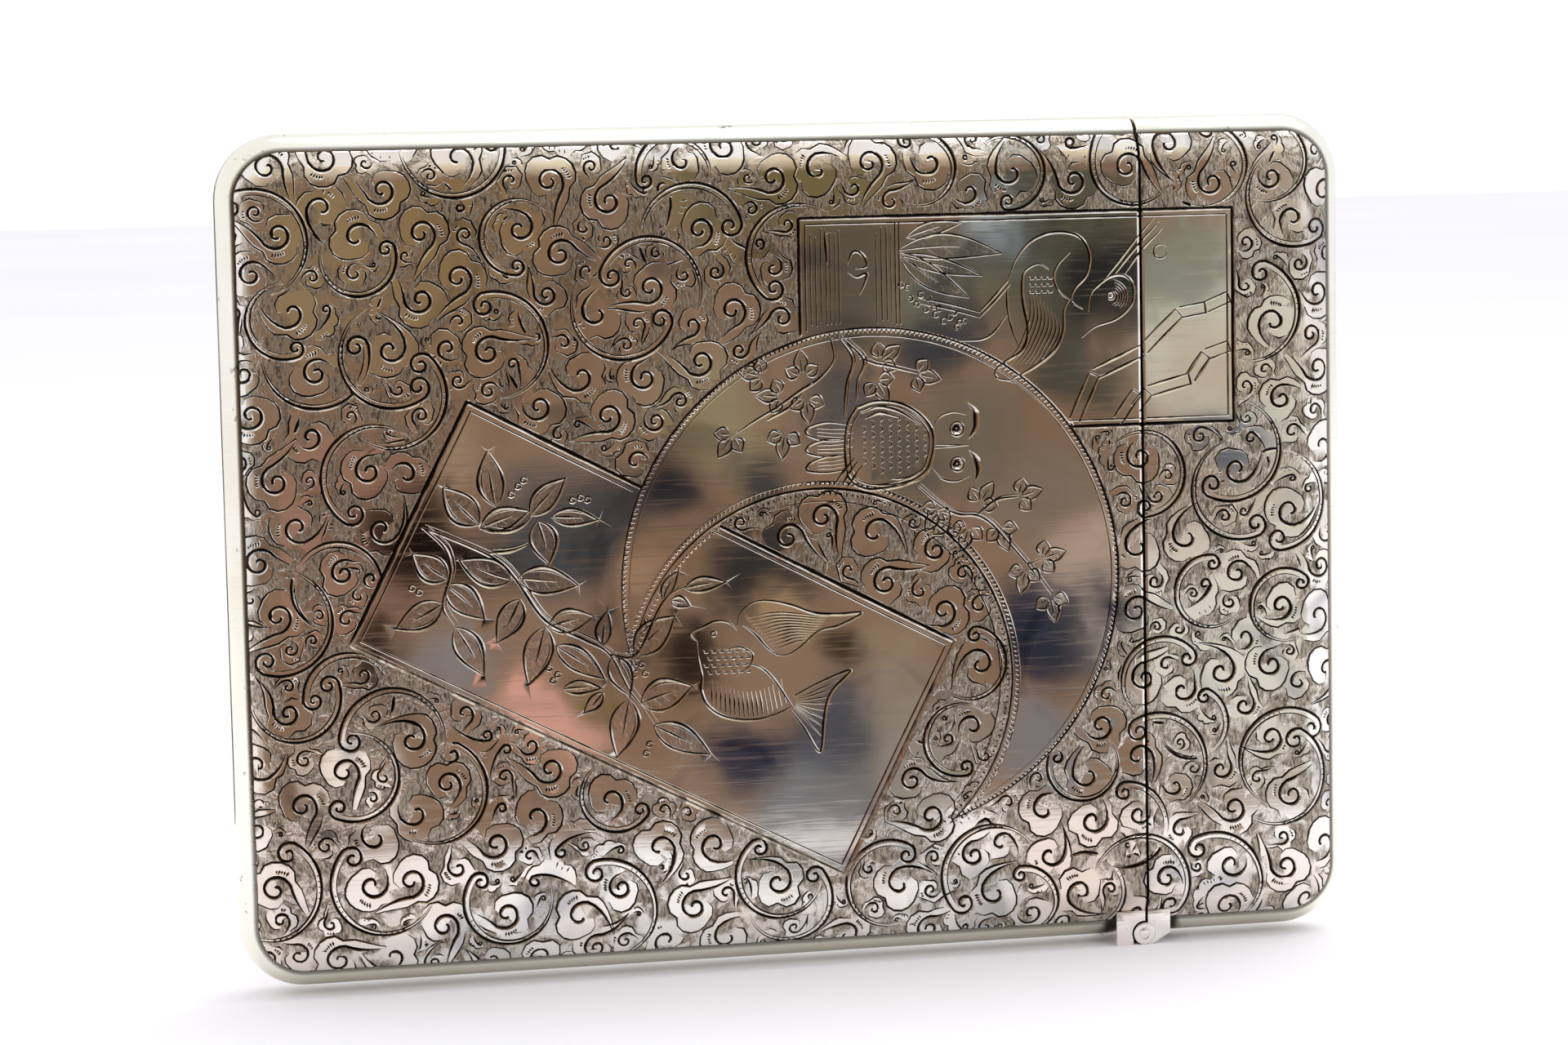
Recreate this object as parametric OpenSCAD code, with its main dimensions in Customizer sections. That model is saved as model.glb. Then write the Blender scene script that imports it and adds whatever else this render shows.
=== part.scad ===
// Antique silver card case: a flat box standing on its long edge, with an end lid
// that swings on a three-knuckle hinge at the foot of the split.
// The case is drawn lying on its back, then stood up: front face toward -Y, lid toward +X.

/* [Case] */
// Length over the rims, body and lid together
case_length = 100; // [92:1:110]
// Height from rim to rim, without the hinge
case_height = 73.4; // [68:1:82]
// Thickness over the two flat faces
case_thickness = 7.4; // [7.0:0.1:8.4]
// Thickness of the silver sheet
sheet = 0.5; // [0.4:0.05:0.6]
// Outer radius of the rounded corners
corner_r = 5.6; // [5.4:0.1:7.0]

/* [Rim and shoulder] */
// How far the rim stands out beyond the seam line
rim_bulge = 1.4; // [1.2:0.1:1.6]
// Height of the rim band from seam to seam
rim_width = 5.0; // [4.6:0.1:5.4]
// Half width of the flat worn along the middle of the rim
rim_land = 0.9; // [0.6:0.1:1.2]
// Width of the curved shoulder between the seam and the flat face
shoulder_width = 3.2; // [2.8:0.1:3.4]

/* [Lid] */
// Length of the lid
lid_length = 19; // [16:0.5:24]
// Gap between the lid and the body
lid_gap = 0.25; // [0.2:0.05:0.4]

/* [Collar] */
// Wall of the inner collar that the lid closes over
collar_wall = 0.4; // [0.3:0.05:0.5]
// How far the collar is held inside the body
collar_hold = 5; // [3:0.5:8]
// How far the collar reaches into the lid
collar_reach = 3.5; // [2.5:0.5:5]
// Clearance between the collar and the lid
collar_clearance = 0.1; // [0.05:0.05:0.2]
// Distance from the edge of the case to the collar
collar_inset = 2.7; // [2.6:0.1:3.2]

/* [Hinge] */
// How far the hinge stands below the rim
hinge_drop = 0.8; // [0.6:0.1:1.0]
// Height of the hinge block
hinge_height = 3.1; // [2.9:0.1:3.1]
// Length of the hinge block through the case
hinge_width = 6.2; // [5.8:0.1:6.2]
// Reach of the hinge block over the body
body_arm = 2.6; // [2.2:0.1:3.2]
// Reach of the hinge block over the lid
lid_arm = 2.4; // [2.0:0.1:3.0]
// Outer radius of the knuckles
knuckle_r = 1.0; // [0.9:0.05:1.1]
// Length of the body's middle knuckle
middle_knuckle = 2.4; // [2.0:0.1:2.8]
// End gap between neighbouring knuckles
knuckle_gap = 0.05; // [0.03:0.01:0.1]
// Radius of the hinge pin
pin_r = 0.45; // [0.35:0.05:0.5]
// Running clearance of the pin in the body's knuckle
pin_clearance = 0.05; // [0.03:0.01:0.08]
// Clearance of a knuckle in the cradle of the other bearer
cradle_clearance = 0.15; // [0.1:0.05:0.2]
// How far the pin lies on the body's side of the split
pin_offset = 0.2; // [0.1:0.05:0.4]

/* [Hidden] */
$fn = 64;

half_length = case_length / 2;
half_height = case_height / 2;
face_w = case_thickness / 2;
seam_w = rim_width / 2;
middle_z = hinge_drop + half_height;
// centres of the corner arcs
corner_x = half_length - corner_r;
corner_y = half_height - corner_r;
// radii from a corner centre to the seam and to the edge of the flat face
seam_r = corner_r - rim_bulge;
flat_r = seam_r - shoulder_width;
// arc of the shoulder, tangent to the flat face
shoulder_drop = face_w - seam_w;
shoulder_r = (pow(shoulder_width, 2) + pow(shoulder_drop, 2)) / (2 * shoulder_drop);
// arc of the rim through the seam and the edge of its flat land
rim_centre_r = corner_r
    - (pow(seam_w, 2) - pow(rim_land, 2) + pow(rim_bulge, 2)) / (2 * rim_bulge);
rim_r = norm([corner_r - rim_centre_r, rim_land]);
rim_lip_r = seam_r - 0.8;

split_x = half_length - lid_length - lid_gap / 2;
body_end_x = split_x - lid_gap / 2;
lid_start_x = split_x + lid_gap / 2;

collar_w = face_w - sheet;
collar_half = half_height - collar_inset;

pin_x = split_x - pin_offset;
pin_z = knuckle_r;
cradle_r = knuckle_r + cradle_clearance;
outer_knuckle = (hinge_width - middle_knuckle) / 2 - knuckle_gap;
// heights and places on the hinge section, from the pin
bearer_top = hinge_height - pin_z;
body_tip_x = -knuckle_r - 0.05;
lid_heel_x = 0.95 * knuckle_r;
lid_heel_z = -0.85 * knuckle_r;

plate_colour = "#b9b2a6";
rim_colour = "#d4cfc6";
hinge_colour = "#a9a49a";

// Stands the case up on its long edge.
module stand() {
    translate([0, 0, middle_z]) rotate([90, 0, 0]) children();
}

// Sweeps a profile round the edge: its x is measured from a corner centre.
module edge_sweep() {
    for (k = [0:3]) {
        side = k % 2 == 0 ? 1 : 0;
        run = 2 * (side == 1 ? corner_y : corner_x);
        out = side == 1 ? corner_x : corner_y;
        translate([out * cos(90 * k), out * sin(90 * k), 0])
            rotate([90, 0, 90 * k])
                linear_extrude(run, center = true) children();
        translate([corner_x * sign(cos(45 + 90 * k)), corner_y * sign(sin(45 + 90 * k)), 0])
            rotate([0, 0, 90 * k])
                rotate_extrude(angle = 90) children();
    }
}

// Section of a face plate from the corner centre out to the seam.
module shoulder_profile() {
    translate([0, face_w - sheet]) square([flat_r, sheet]);
    intersection() {
        translate([flat_r, face_w - shoulder_r]) difference() {
            circle(shoulder_r);
            circle(shoulder_r - sheet);
        }
        translate([flat_r, seam_w]) square([corner_r, shoulder_drop]);
    }
}

// Section of the bulging rim band, with a narrow flat along its middle.
module rim_profile() {
    intersection() {
        translate([rim_centre_r, 0]) difference() {
            circle(rim_r);
            circle(rim_r - sheet);
        }
        translate([rim_lip_r, -seam_w]) square([corner_r - rim_lip_r, rim_width]);
    }
}

// One whole face, turned toward the front.
module face_form() {
    translate([-corner_x, -corner_y, face_w - sheet]) cube([2 * corner_x, 2 * corner_y, sheet]);
    edge_sweep() shoulder_profile();
}

// Keeps the part of the case between two places along it, with the hinge notch cut out.
module between(from_x, to_x) {
    difference() {
        intersection() {
            stand() children();
            translate([from_x, -face_w, 0]) cube([to_x - from_x, case_thickness, 2 * middle_z]);
        }
        translate([pin_x - body_arm, -face_w, 0])
            cube([body_arm + lid_arm, case_thickness, hinge_height]);
    }
}

// A flat band with half-round edges.
module obround(half_run, r) {
    translate([-(half_run - r), -r]) square([2 * (half_run - r), 2 * r]);
    for (side = [-1, 1]) translate([side * (half_run - r), 0]) circle(r);
}

module collar_tube(from_x, run, ease) {
    translate([from_x, 0, middle_z]) rotate([90, 0, 90]) linear_extrude(run) rotate(90)
        difference() {
            obround(collar_half - ease, collar_w - ease);
            obround(collar_half - collar_wall, collar_w - collar_wall);
        }
}

// Places a section drawn about the pin, running through the case from from_y.
module at_pin(from_y, run) {
    translate([pin_x, from_y + run, pin_z]) rotate([90, 0, 0]) linear_extrude(run) children();
}

module body_arm_section() {
    difference() {
        translate([-body_arm, -pin_z]) square([body_arm + body_end_x - pin_x, hinge_height]);
        translate([body_tip_x, -pin_z]) square([knuckle_r * 2, pin_z]);
    }
}

module lid_arm_section() {
    polygon([
        [lid_start_x - pin_x, bearer_top],
        [lid_start_x - pin_x, 0],
        [0, -knuckle_r],
        [lid_heel_x * 0.6, -knuckle_r],
        [lid_heel_x, lid_heel_z],
        [lid_arm, 0],
        [lid_arm, bearer_top]
    ]);
}

// A bearer is cut to cradle its own knuckles closely and the others with clearance.
module bearer(middle_cut, outer_cut) {
    half_middle = middle_knuckle / 2;
    spans = [
        [-hinge_width / 2, (hinge_width - middle_knuckle) / 2, outer_cut],
        [-half_middle, middle_knuckle, middle_cut],
        [half_middle, (hinge_width - middle_knuckle) / 2, outer_cut]
    ];
    for (span = spans)
        at_pin(span[0], span[1]) difference() {
            children();
            circle(span[2]);
        }
}

module knuckle(from_y, run, bore_r) {
    at_pin(from_y, run) difference() {
        circle(knuckle_r);
        circle(bore_r);
    }
}

module body_front_plate() {
    color(plate_colour) between(-half_length, body_end_x) face_form();
}

module body_back_plate() {
    color(plate_colour) between(-half_length, body_end_x) mirror([0, 0, 1]) face_form();
}

module body_rim() {
    color(rim_colour) between(-half_length, body_end_x) edge_sweep() rim_profile();
}

module body_collar() {
    color(rim_colour) {
        collar_tube(body_end_x - collar_hold, collar_hold, 0);
        collar_tube(body_end_x, lid_gap + collar_reach, collar_clearance);
    }
}

module body_hinge_bearer() {
    color(hinge_colour) bearer(knuckle_r, cradle_r) body_arm_section();
}

module body_knuckle() {
    color(hinge_colour) knuckle(-middle_knuckle / 2, middle_knuckle, pin_r + pin_clearance);
}

module lid_front_plate() {
    color(plate_colour) between(lid_start_x, half_length) face_form();
}

module lid_back_plate() {
    color(plate_colour) between(lid_start_x, half_length) mirror([0, 0, 1]) face_form();
}

module lid_rim() {
    color(rim_colour) between(lid_start_x, half_length) edge_sweep() rim_profile();
}

module lid_hinge_bearer() {
    color(hinge_colour) bearer(cradle_r, knuckle_r) lid_arm_section();
}

module lid_front_knuckle() {
    color(hinge_colour) knuckle(-hinge_width / 2, outer_knuckle, pin_r);
}

module lid_rear_knuckle() {
    color(hinge_colour) knuckle(hinge_width / 2 - outer_knuckle, outer_knuckle, pin_r);
}

module hinge_pin() {
    color(rim_colour) at_pin(-hinge_width / 2, hinge_width) circle(pin_r);
}

body_front_plate();
body_back_plate();
body_rim();
body_collar();
body_hinge_bearer();
body_knuckle();
lid_front_plate();
lid_back_plate();
lid_rim();
lid_hinge_bearer();
lid_front_knuckle();
lid_rear_knuckle();
hinge_pin();
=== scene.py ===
import math
import random
import bmesh
import bpy
import numpy as np
from mathutils import Matrix, Vector, kdtree
from mathutils.geometry import delaunay_2d_cdt


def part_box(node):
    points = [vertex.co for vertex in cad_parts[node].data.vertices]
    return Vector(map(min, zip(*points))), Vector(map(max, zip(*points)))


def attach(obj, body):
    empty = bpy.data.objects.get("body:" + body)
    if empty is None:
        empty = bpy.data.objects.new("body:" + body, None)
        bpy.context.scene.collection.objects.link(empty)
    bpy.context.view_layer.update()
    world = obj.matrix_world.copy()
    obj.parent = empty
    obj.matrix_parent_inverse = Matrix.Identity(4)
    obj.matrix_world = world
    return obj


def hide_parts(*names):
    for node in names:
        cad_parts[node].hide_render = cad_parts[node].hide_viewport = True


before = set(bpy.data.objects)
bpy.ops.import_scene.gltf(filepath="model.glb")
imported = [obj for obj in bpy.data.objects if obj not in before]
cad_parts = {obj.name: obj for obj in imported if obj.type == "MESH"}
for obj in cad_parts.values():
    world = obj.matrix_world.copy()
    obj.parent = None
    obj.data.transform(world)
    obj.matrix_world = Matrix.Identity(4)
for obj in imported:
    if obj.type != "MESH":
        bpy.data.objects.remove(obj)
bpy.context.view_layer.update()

mm = 0.001

# The case as the frame gives it, in millimetres: x along it, z up it, y through it.
rimLow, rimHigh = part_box("body_rim")
lidLow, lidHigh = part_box("lid_rim")
plateLow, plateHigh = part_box("body_front_plate")
pinLow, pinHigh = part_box("hinge_pin")
bodyArmLow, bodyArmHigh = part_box("body_hinge_bearer")
lidArmLow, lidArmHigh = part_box("lid_hinge_bearer")
case = {
    "left": rimLow[0] / mm, "right": lidHigh[0] / mm,
    "foot": rimLow[2] / mm, "top": rimHigh[2] / mm,
    "bodyEnd": rimHigh[0] / mm, "lidStart": lidLow[0] / mm,
    "face": -plateLow[1] / mm, "seam": rimHigh[1] / mm,
    "bulge": (plateLow[0] - rimLow[0]) / mm,
    "notchLeft": bodyArmLow[0] / mm, "notchRight": lidArmHigh[0] / mm,
    "notchTop": bodyArmHigh[2] / mm,
    "seamRadius": 4.2, "shoulder": 3.2, "sheet": 0.5,
}
case["middle"] = (case["foot"] + case["top"]) / 2
seamHalfX = (case["right"] - case["left"]) / 2 - case["bulge"]
seamHalfZ = (case["top"] - case["foot"]) / 2 - case["bulge"]
shoulderDrop = case["face"] - case["seam"]
shoulderArc = (case["shoulder"] ** 2 + shoulderDrop ** 2) / (2 * shoulderDrop)


# The shape of a face.
def seamDepth(x, z):
    # distance in from the seam line, which is a rectangle with round corners
    qx = np.abs(x) - (seamHalfX - case["seamRadius"])
    qz = np.abs(z - case["middle"]) - (seamHalfZ - case["seamRadius"])
    outside = np.hypot(np.maximum(qx, 0), np.maximum(qz, 0))
    return case["seamRadius"] - outside - np.minimum(np.maximum(qx, qz), 0)


def faceHeight(depth, thickness=0.0):
    # height of the rolled shoulder over the middle of the case, or of its inner face
    run = np.clip(case["shoulder"] - depth, 0, case["shoulder"])
    arc = shoulderArc - thickness
    return case["face"] - shoulderArc + np.sqrt(arc ** 2 - run ** 2)


waves = {"amount": 0.05, "runs": [(0.31, 0.17, 0.4), (-0.15, 0.33, 2.1), (0.42, -0.27, 4.0),
                                  (0.11, 0.52, 1.2)]}


def wornSurface(x, z):
    # slow hollows left by a century of handling
    total = sum(np.sin(a * x + b * z + c) for a, b, c in waves["runs"])
    return -waves["amount"] * (1 + total / len(waves["runs"]))


# The engraver's tools: every cut is a centre line with a width along it.
straightStep = 1.1  # straight lines need few points


def smoothCurve(points, step):
    # a curve through the given points
    points = np.array(points, float)
    if len(points) == 2:
        count = max(2, int(np.hypot(*(points[1] - points[0])) / max(step, straightStep)) + 1)
        return points[0] + np.linspace(0, 1, count)[:, None] * (points[1] - points[0])
    padded = np.vstack([2 * points[0] - points[1], points, 2 * points[-1] - points[-2]])
    parts = []
    for i in range(len(points) - 1):
        a, b, c, d = padded[i:i + 4]
        count = max(2, int(np.hypot(*(c - b)) / step) + 1)
        t = np.linspace(0, 1, count, endpoint=False)[:, None]
        parts.append(0.5 * (2 * b + (c - a) * t + (2 * a - 5 * b + 4 * c - d) * t ** 2
                            + (3 * b - a - 3 * c + d) * t ** 3))
    return np.vstack(parts + [points[-1:]])


def cut(work, points, width, start=0.15, end=0.15, swell=0.5, step=0.42, smooth=True):
    # start and end are the shares of the width left at the two ends
    line = smoothCurve(points, step) if smooth else np.array(points, float)
    along = np.concatenate([[0], np.cumsum(np.hypot(*np.diff(line, axis=0).T))])
    along = along / max(along[-1], 1e-6)
    half = np.interp(along, [0, swell * 0.6, swell, 1 - (1 - swell) * 0.3, 1],
                     [start, 0.9, 1.0, 0.5 + end / 2, end]) * width * work["bold"] / 2
    # the graver leaves the metal at a point
    nose = line[0] + (line[0] - line[1]) / max(math.dist(line[0], line[1]), 1e-6) * half[0]
    heel = line[-1] + (line[-1] - line[-2]) / max(math.dist(line[-1], line[-2]), 1e-6) * half[-1]
    work["cuts"].append((np.vstack([nose, line, heel]), np.concatenate([[0], half, [0]])))


def nick(work, a, b, width=0.17):
    # one short jab, widest in the middle
    a, b = np.array(a, float), np.array(b, float)
    work["cuts"].append((np.array([a, a * 0.45 + b * 0.55, b]),
                         np.array([0.0, width * work["bold"] / 2, 0.0])))


def straightCut(work, a, b, width, step=1.2, ends=0.6):
    cut(work, [a, b], width, ends, ends, step=step)


def arc(centre, radius, start, sweep, step=0.4, shrink=0.0, power=1.0):
    # angles in turns; shrink draws the arc into a spiral
    count = max(4, int(abs(sweep) * 2 * math.pi * radius / step))
    u = np.linspace(0, 1, count)
    angle = 2 * math.pi * (start + sweep * u)
    r = radius * (1 - shrink * u ** power)
    return np.column_stack([centre[0] + r * np.cos(angle), centre[1] + r * np.sin(angle)])


def arcCut(work, centre, radius, start, sweep, step, width, tail=0.3, head=0.3):
    cut(work, arc(centre, radius, start, sweep, step), width, tail, head, smooth=False)


# The scroll: curled leaves packed round a few big C stems.
scroll = {"cell": 0.12, "stems": (4.6, 3.9, 3.3), "stemTries": 60,
          "sizes": (2.2, 1.95, 1.7, 1.5, 1.3, 1.15, 1.0, 0.88), "curledTries": 1900, "longTries": 260,
          "fillers": (0.95, 0.75), "fillerTries": 1500, "tucked": 0.34, "stemTucked": 0.07,
          "loose": 0.35, "margin": 3.0, "group": 400, "clearance": 0.14, "overrun": 1.2}


def curledLeaf(size, sway, lobes, hook):
    # a leaf that curls round the origin; its foot lies off to the left, swayed up or down
    foot = np.array([-1.55 * size, (-0.6 + sway) * size])
    u = np.linspace(0, 1, max(4, int(size * 2.6)), endpoint=False)[:, None]
    bend = np.array([-0.75 * size, -0.62 * size - 0.12 * sway * size])
    join = np.array([0.0, -0.62 * size])
    tail = foot * (1 - u) ** 2 + bend * 2 * u * (1 - u) + join * u ** 2
    v = np.linspace(0, 1, int((13 + 3 * size) * hook))
    angle = -math.pi / 2 + 2 * math.pi * hook * v
    r = size * (0.62 - 0.49 * v ** 0.8)
    curl = np.column_stack([r * np.cos(angle), r * np.sin(angle)])
    back = []
    total = 1.55 * size + 1.1 * math.pi * size
    for k in range(lobes):
        w = np.linspace(0, 1, max(5, int(total / lobes / 0.5)))
        for t in (k + w[:-1]) / lobes:
            arch = 0.5 + 0.6 * math.sin(math.pi * ((t * lobes) % 1)) ** 0.6
            if t < 0.3:
                base = tail[min(int(t / 0.3 * len(tail)), len(tail) - 1)]
                back.append(base + np.array([0.12 * t, -1.5 * t * arch]) * size)
            else:
                turn = -math.pi / 2 + 1.22 * math.pi * (t - 0.3) / 0.7
                reach = size * (0.62 + (0.47 - 0.2 * max(t - 0.8, 0) / 0.2) * arch)
                back.append(np.array([reach * math.cos(turn), reach * math.sin(turn)]))
    nose = np.array([[-0.66, 0.42], [-0.7, 0.1], [-0.5, -0.16]]) * size
    return tail, curl, np.array(back), nose


def leafCuts(size, sway, lobes, hook):
    # cuts as (points, width, start, end, swell) or a nick's (points, width), and the polished outline
    tail, curl, back, nose = curledLeaf(size, sway, lobes, hook)
    bold = 0.2 + 0.1 * min(size, 2)
    edge = np.vstack([tail[:1], back, nose])
    cuts = [(np.vstack([tail, curl]), bold, 0.2, 0.8, 0.45), (edge, 0.19 + 0.03 * size, 0.4, 0.3, 0.5)]
    if size > 0.9:
        first = -0.9 if lobes % 2 else 0.1
        for k in range(3 + int(size > 1.3) + int(size > 1.9)):
            angle = first + 0.3 * k / max(size, 1)
            ray = np.array([math.cos(angle), math.sin(angle)]) * size
            cuts.append((np.array([ray * 0.64, ray * (0.94 - 0.03 * k)]), 0.26))
    return cuts, np.vstack([edge, curl[:max(3, len(curl) // 4)][::-1], tail[::-1]])


def tongueCuts(size, turning, lobes):
    # a long curved leaf with a scalloped back, a bold rib and a hooked tip
    length = 3.1 * size
    u = np.linspace(0, 1, 4 * lobes + 1)
    heading = turning * (u - 0.5)
    spine = length * np.column_stack([np.sin(heading) / turning, (1 - np.cos(heading)) / turning])
    side = np.column_stack([-np.sin(heading), np.cos(heading)])
    belly = np.sin(math.pi * np.clip(u, 0.02, 0.98) ** 0.75)[:, None]
    scallop = (0.62 + 0.38 * np.abs(np.sin(math.pi * lobes * u)) ** 0.6)[:, None]
    back = spine - side * belly * scallop * 0.62 * size
    front = spine + side * belly * 0.34 * size
    v = np.linspace(0, 1, 9)
    turn = heading[-3] - math.pi / 2 + 1.7 * math.pi * v
    r = 0.3 * size * (1 - 0.6 * v)
    tip = front[-3] + side[-3] * r[0] + np.column_stack([r * np.cos(turn), r * np.sin(turn)])
    cuts = [(np.vstack([front[:-3], tip]), 0.19 + 0.11 * size, 0.15, 0.8, 0.6), (back, 0.2, 0.3, 0.3, 0.5)]
    for k in range(2 + int(size > 0.9) + int(size > 1.3)):
        i = 3 + k
        cuts.append((np.array([spine[i] * 0.85 + back[i] * 0.15, spine[i] * 0.15 + back[i] * 0.85]), 0.17))
    return cuts, np.vstack([back, tip[::-1], front[:-3][::-1]])


def stemCuts(size, sweep):
    # a C stem: a bold line and a fine one beside it, rolled up at the far end
    band = 0.5
    count = int(size * sweep * 2 * math.pi / 0.5)
    angle = np.linspace(0, 2 * math.pi * sweep, count)
    outer = np.column_stack([size * np.cos(angle), size * np.sin(angle)])
    inner = outer * (1 - band * np.sin(np.linspace(0.12, 1, count) * math.pi * 0.5)[:, None] / size)
    rolled = 0.24 * size
    v = np.linspace(0, 1, 18)
    turn = angle[-1] + 2 * math.pi * 1.2 * v
    centre = outer[-1] * (1 - rolled / size)
    r = rolled * (1 - 0.8 * v ** 0.85)
    roll = centre + np.column_stack([r * np.cos(turn), r * np.sin(turn)])
    cuts = [(np.vstack([outer, roll[1:]]), 0.4, 0.1, 0.8, 0.6), (inner, 0.2, 0.2, 0.3, 0.5)]
    for at in (0.25, 0.6):
        for k in range(5):
            i = int(count * at) + k
            cuts.append((np.array([outer[i] * (1 - 0.08 / size), inner[i] * (1 + 0.06 / size)]), 0.16))
    return cuts, np.vstack([outer, roll[:len(roll) // 2], inner[::-1]])


def fillOutline(outline, pitch):
    # points spread over the inside of an outline
    low, high = outline.min(0), outline.max(0)
    xs, zs = np.meshgrid(np.arange(low[0], high[0], pitch), np.arange(low[1], high[1], pitch))
    spots = np.column_stack([xs.ravel(), zs.ravel()])
    return np.vstack([spots[polygonsHold(spots, [outline])], outline])


class Cloth:
    # a fine grid that remembers which parts of the face are taken
    def __init__(self, taken):
        self.low = np.array([case["left"], case["foot"]]) - scroll["margin"]
        shape = [int((b - a + 2 * scroll["margin"]) / scroll["cell"]) for a, b in
                 ((case["left"], case["right"]), (case["foot"], case["top"]))]
        xs = self.low[0] + (np.arange(shape[0]) + 0.5) * scroll["cell"]
        zs = self.low[1] + (np.arange(shape[1]) + 0.5) * scroll["cell"]
        gridX, gridZ = np.meshgrid(xs, zs, indexing="ij")
        self.taken = taken(gridX, gridZ)
        self.near = np.zeros_like(self.taken)

    def cells(self, points):
        index = ((points - self.low) / scroll["cell"]).astype(int)
        for axis in (0, 1):
            np.clip(index[..., axis], 2, self.taken.shape[axis] - 3, out=index[..., axis])
        return index[..., 0], index[..., 1]

    def crowding(self, points):
        return self.taken[self.cells(points)].mean(-1)

    def take(self, points):
        i, j = self.cells(points)
        for di in (-1, 0, 1):
            for dj in (-1, 0, 1):
                self.taken[i + di, j + dj] = True
        for di in range(-4, 5, 2):
            for dj in range(-4, 5, 2):
                self.near[np.clip(i + di, 0, len(self.near) - 1),
                          np.clip(j + dj, 0, len(self.near[0]) - 1)] = True


def clearRuns(line, clear):
    # the stretches of a line that nothing lies over
    runs, run = [], []
    for point, good in zip(line, clear):
        if good:
            run.append(point)
        elif run:
            runs.append(run)
            run = []
    return [np.array(r) for r in runs + [run] if len(r) > 2]


def scatterUnit(work, cloth, rng, cuts, outline, tries, mirrored, loose, heart, tucked=scroll["tucked"]):
    # tries a unit all over the face and keeps it wherever its heart, a round patch, is clear;
    # the rest of it may be tucked behind what is there
    flip = np.array([1, -1]) if mirrored else np.array([1, 1])
    spots = fillOutline(outline, 0.2) * flip
    foot = outline[0] * flip
    ring = np.linspace(0, 2 * math.pi, 12, endpoint=False)
    patch = np.vstack([heart[0] + r * np.column_stack([np.cos(ring), np.sin(ring)]) * heart[1]
                       for r in (0.1, 0.55, 1.0)]) * flip
    at = np.column_stack([rng.uniform(case["left"] - 0.5, case["right"] + 0.5, tries),
                          rng.uniform(case["foot"] - 0.5, case["top"] + 0.5, tries)])
    angle = rng.uniform(0, 2 * math.pi, tries)
    spin = np.stack([np.cos(angle), -np.sin(angle), np.sin(angle), np.cos(angle)], 1).reshape(-1, 2, 2)
    kept = 0
    for first in range(0, tries, scroll["group"]):
        group = slice(first, first + scroll["group"])
        placed = np.einsum("kij,nj->kni", spin[group], spots) + at[group][:, None]
        hearts = np.einsum("kij,nj->kni", spin[group], patch) + at[group][:, None]
        good = (cloth.crowding(placed) <= tucked) & (cloth.crowding(hearts) == 0)
        feet = np.einsum("kij,j->ki", spin[group], foot) + at[group]
        good &= cloth.near[cloth.cells(feet)] | (rng.random(len(feet)) < loose)
        for k in np.nonzero(good)[0]:
            if cloth.crowding(placed[k]) <= tucked and cloth.crowding(hearts[k]) == 0:
                turn, move = spin[first + k], at[first + k]
                for points, width, *shape in cuts:
                    line = (points * flip) @ turn.T + move
                    clear = ~cloth.taken[cloth.cells(line)]
                    if shape:
                        for run in clearRuns(line, clear):
                            cut(work, run, width, *shape, smooth=False)
                    elif clear.all():
                        nick(work, line[0], line[1], width)
                cloth.take(placed[k])
                work["leaves"].append((outline * flip) @ turn.T + move)
                kept += 1
    return kept


def fillWithScroll(work, seed, taken):
    rng = np.random.default_rng(seed)
    cloth = Cloth(taken)
    stems = leaves = tongues = 0
    for size in scroll["stems"]:
        for mirrored in (False, True):
            cuts, outline = stemCuts(size, 0.5 + 0.22 * rng.random())
            roll = (outline.mean(0), 0.3)
            stems += scatterUnit(work, cloth, rng, cuts, outline, scroll["stemTries"], mirrored, 1.0, roll,
                                 scroll["stemTucked"])
    for size in scroll["sizes"]:
        loose = scroll["loose"] if size > 1.1 else 1.0
        curl, rib = (np.zeros(2), 0.72 * size), (np.array([1.1, 0.2]) * size, 0.35 * size)
        for mirrored in (False, True):
            for _ in range(2):
                cuts, outline = leafCuts(size, rng.uniform(-0.9, 0.9), int(rng.integers(2, 5)),
                                         rng.uniform(0.7, 1.3))
                leaves += scatterUnit(work, cloth, rng, cuts, outline, scroll["curledTries"], mirrored,
                                      loose, curl)
            cuts, outline = tongueCuts(size * 0.8, rng.uniform(0.9, 2.4), int(rng.integers(2, 5)))
            tongues += scatterUnit(work, cloth, rng, cuts, outline, scroll["longTries"], mirrored, loose,
                                   rib)
    for size in scroll["fillers"]:
        rib = (np.array([1.1, 0.2]) * size, 0.3 * size)
        for mirrored in (False, True):
            cuts, outline = tongueCuts(size * 0.8, rng.uniform(0.9, 2.4), 2)
            tongues += scatterUnit(work, cloth, rng, cuts, outline, scroll["fillerTries"], mirrored, 1.0,
                                   rib)
    print("scroll:", stems, "stems,", leaves, "curled leaves,", tongues, "long leaves")


# The front's three pictures, which the code calls vignettes.
def leafShape(base, tip, width, bend=0.0):
    base, tip = np.array(base, float), np.array(tip, float)
    run = tip - base
    side = np.array([-run[1], run[0]]) / max(np.hypot(*run), 1e-6)
    u = np.linspace(0, 1, 13)[:, None]
    belly = np.sin(math.pi * u ** 0.8) * width / 2
    middle = base + run * u + side * bend * np.sin(math.pi * u)
    return middle, middle + side * belly, middle - side * belly


def engraveLeaf(work, base, tip, width=1.9, bend=0.0, shade=3, line=0.24):
    middle, left, right = leafShape(base, tip, width, bend)
    cut(work, left, line, 0.3, 0.5, smooth=False)
    cut(work, right, line * 0.85, 0.3, 0.5, smooth=False)
    cut(work, middle[:9], line * 0.7, 0.4, 0.1, smooth=False)
    for k in range(shade):
        i = 3 + 2 * k
        cut(work, [middle[i], middle[i] * 0.35 + right[min(i + 2, 12)] * 0.65], 0.12, 0.3, 0.2, step=0.6)
    work["frosted"].append(np.vstack([left, right[::-1]]))


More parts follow.
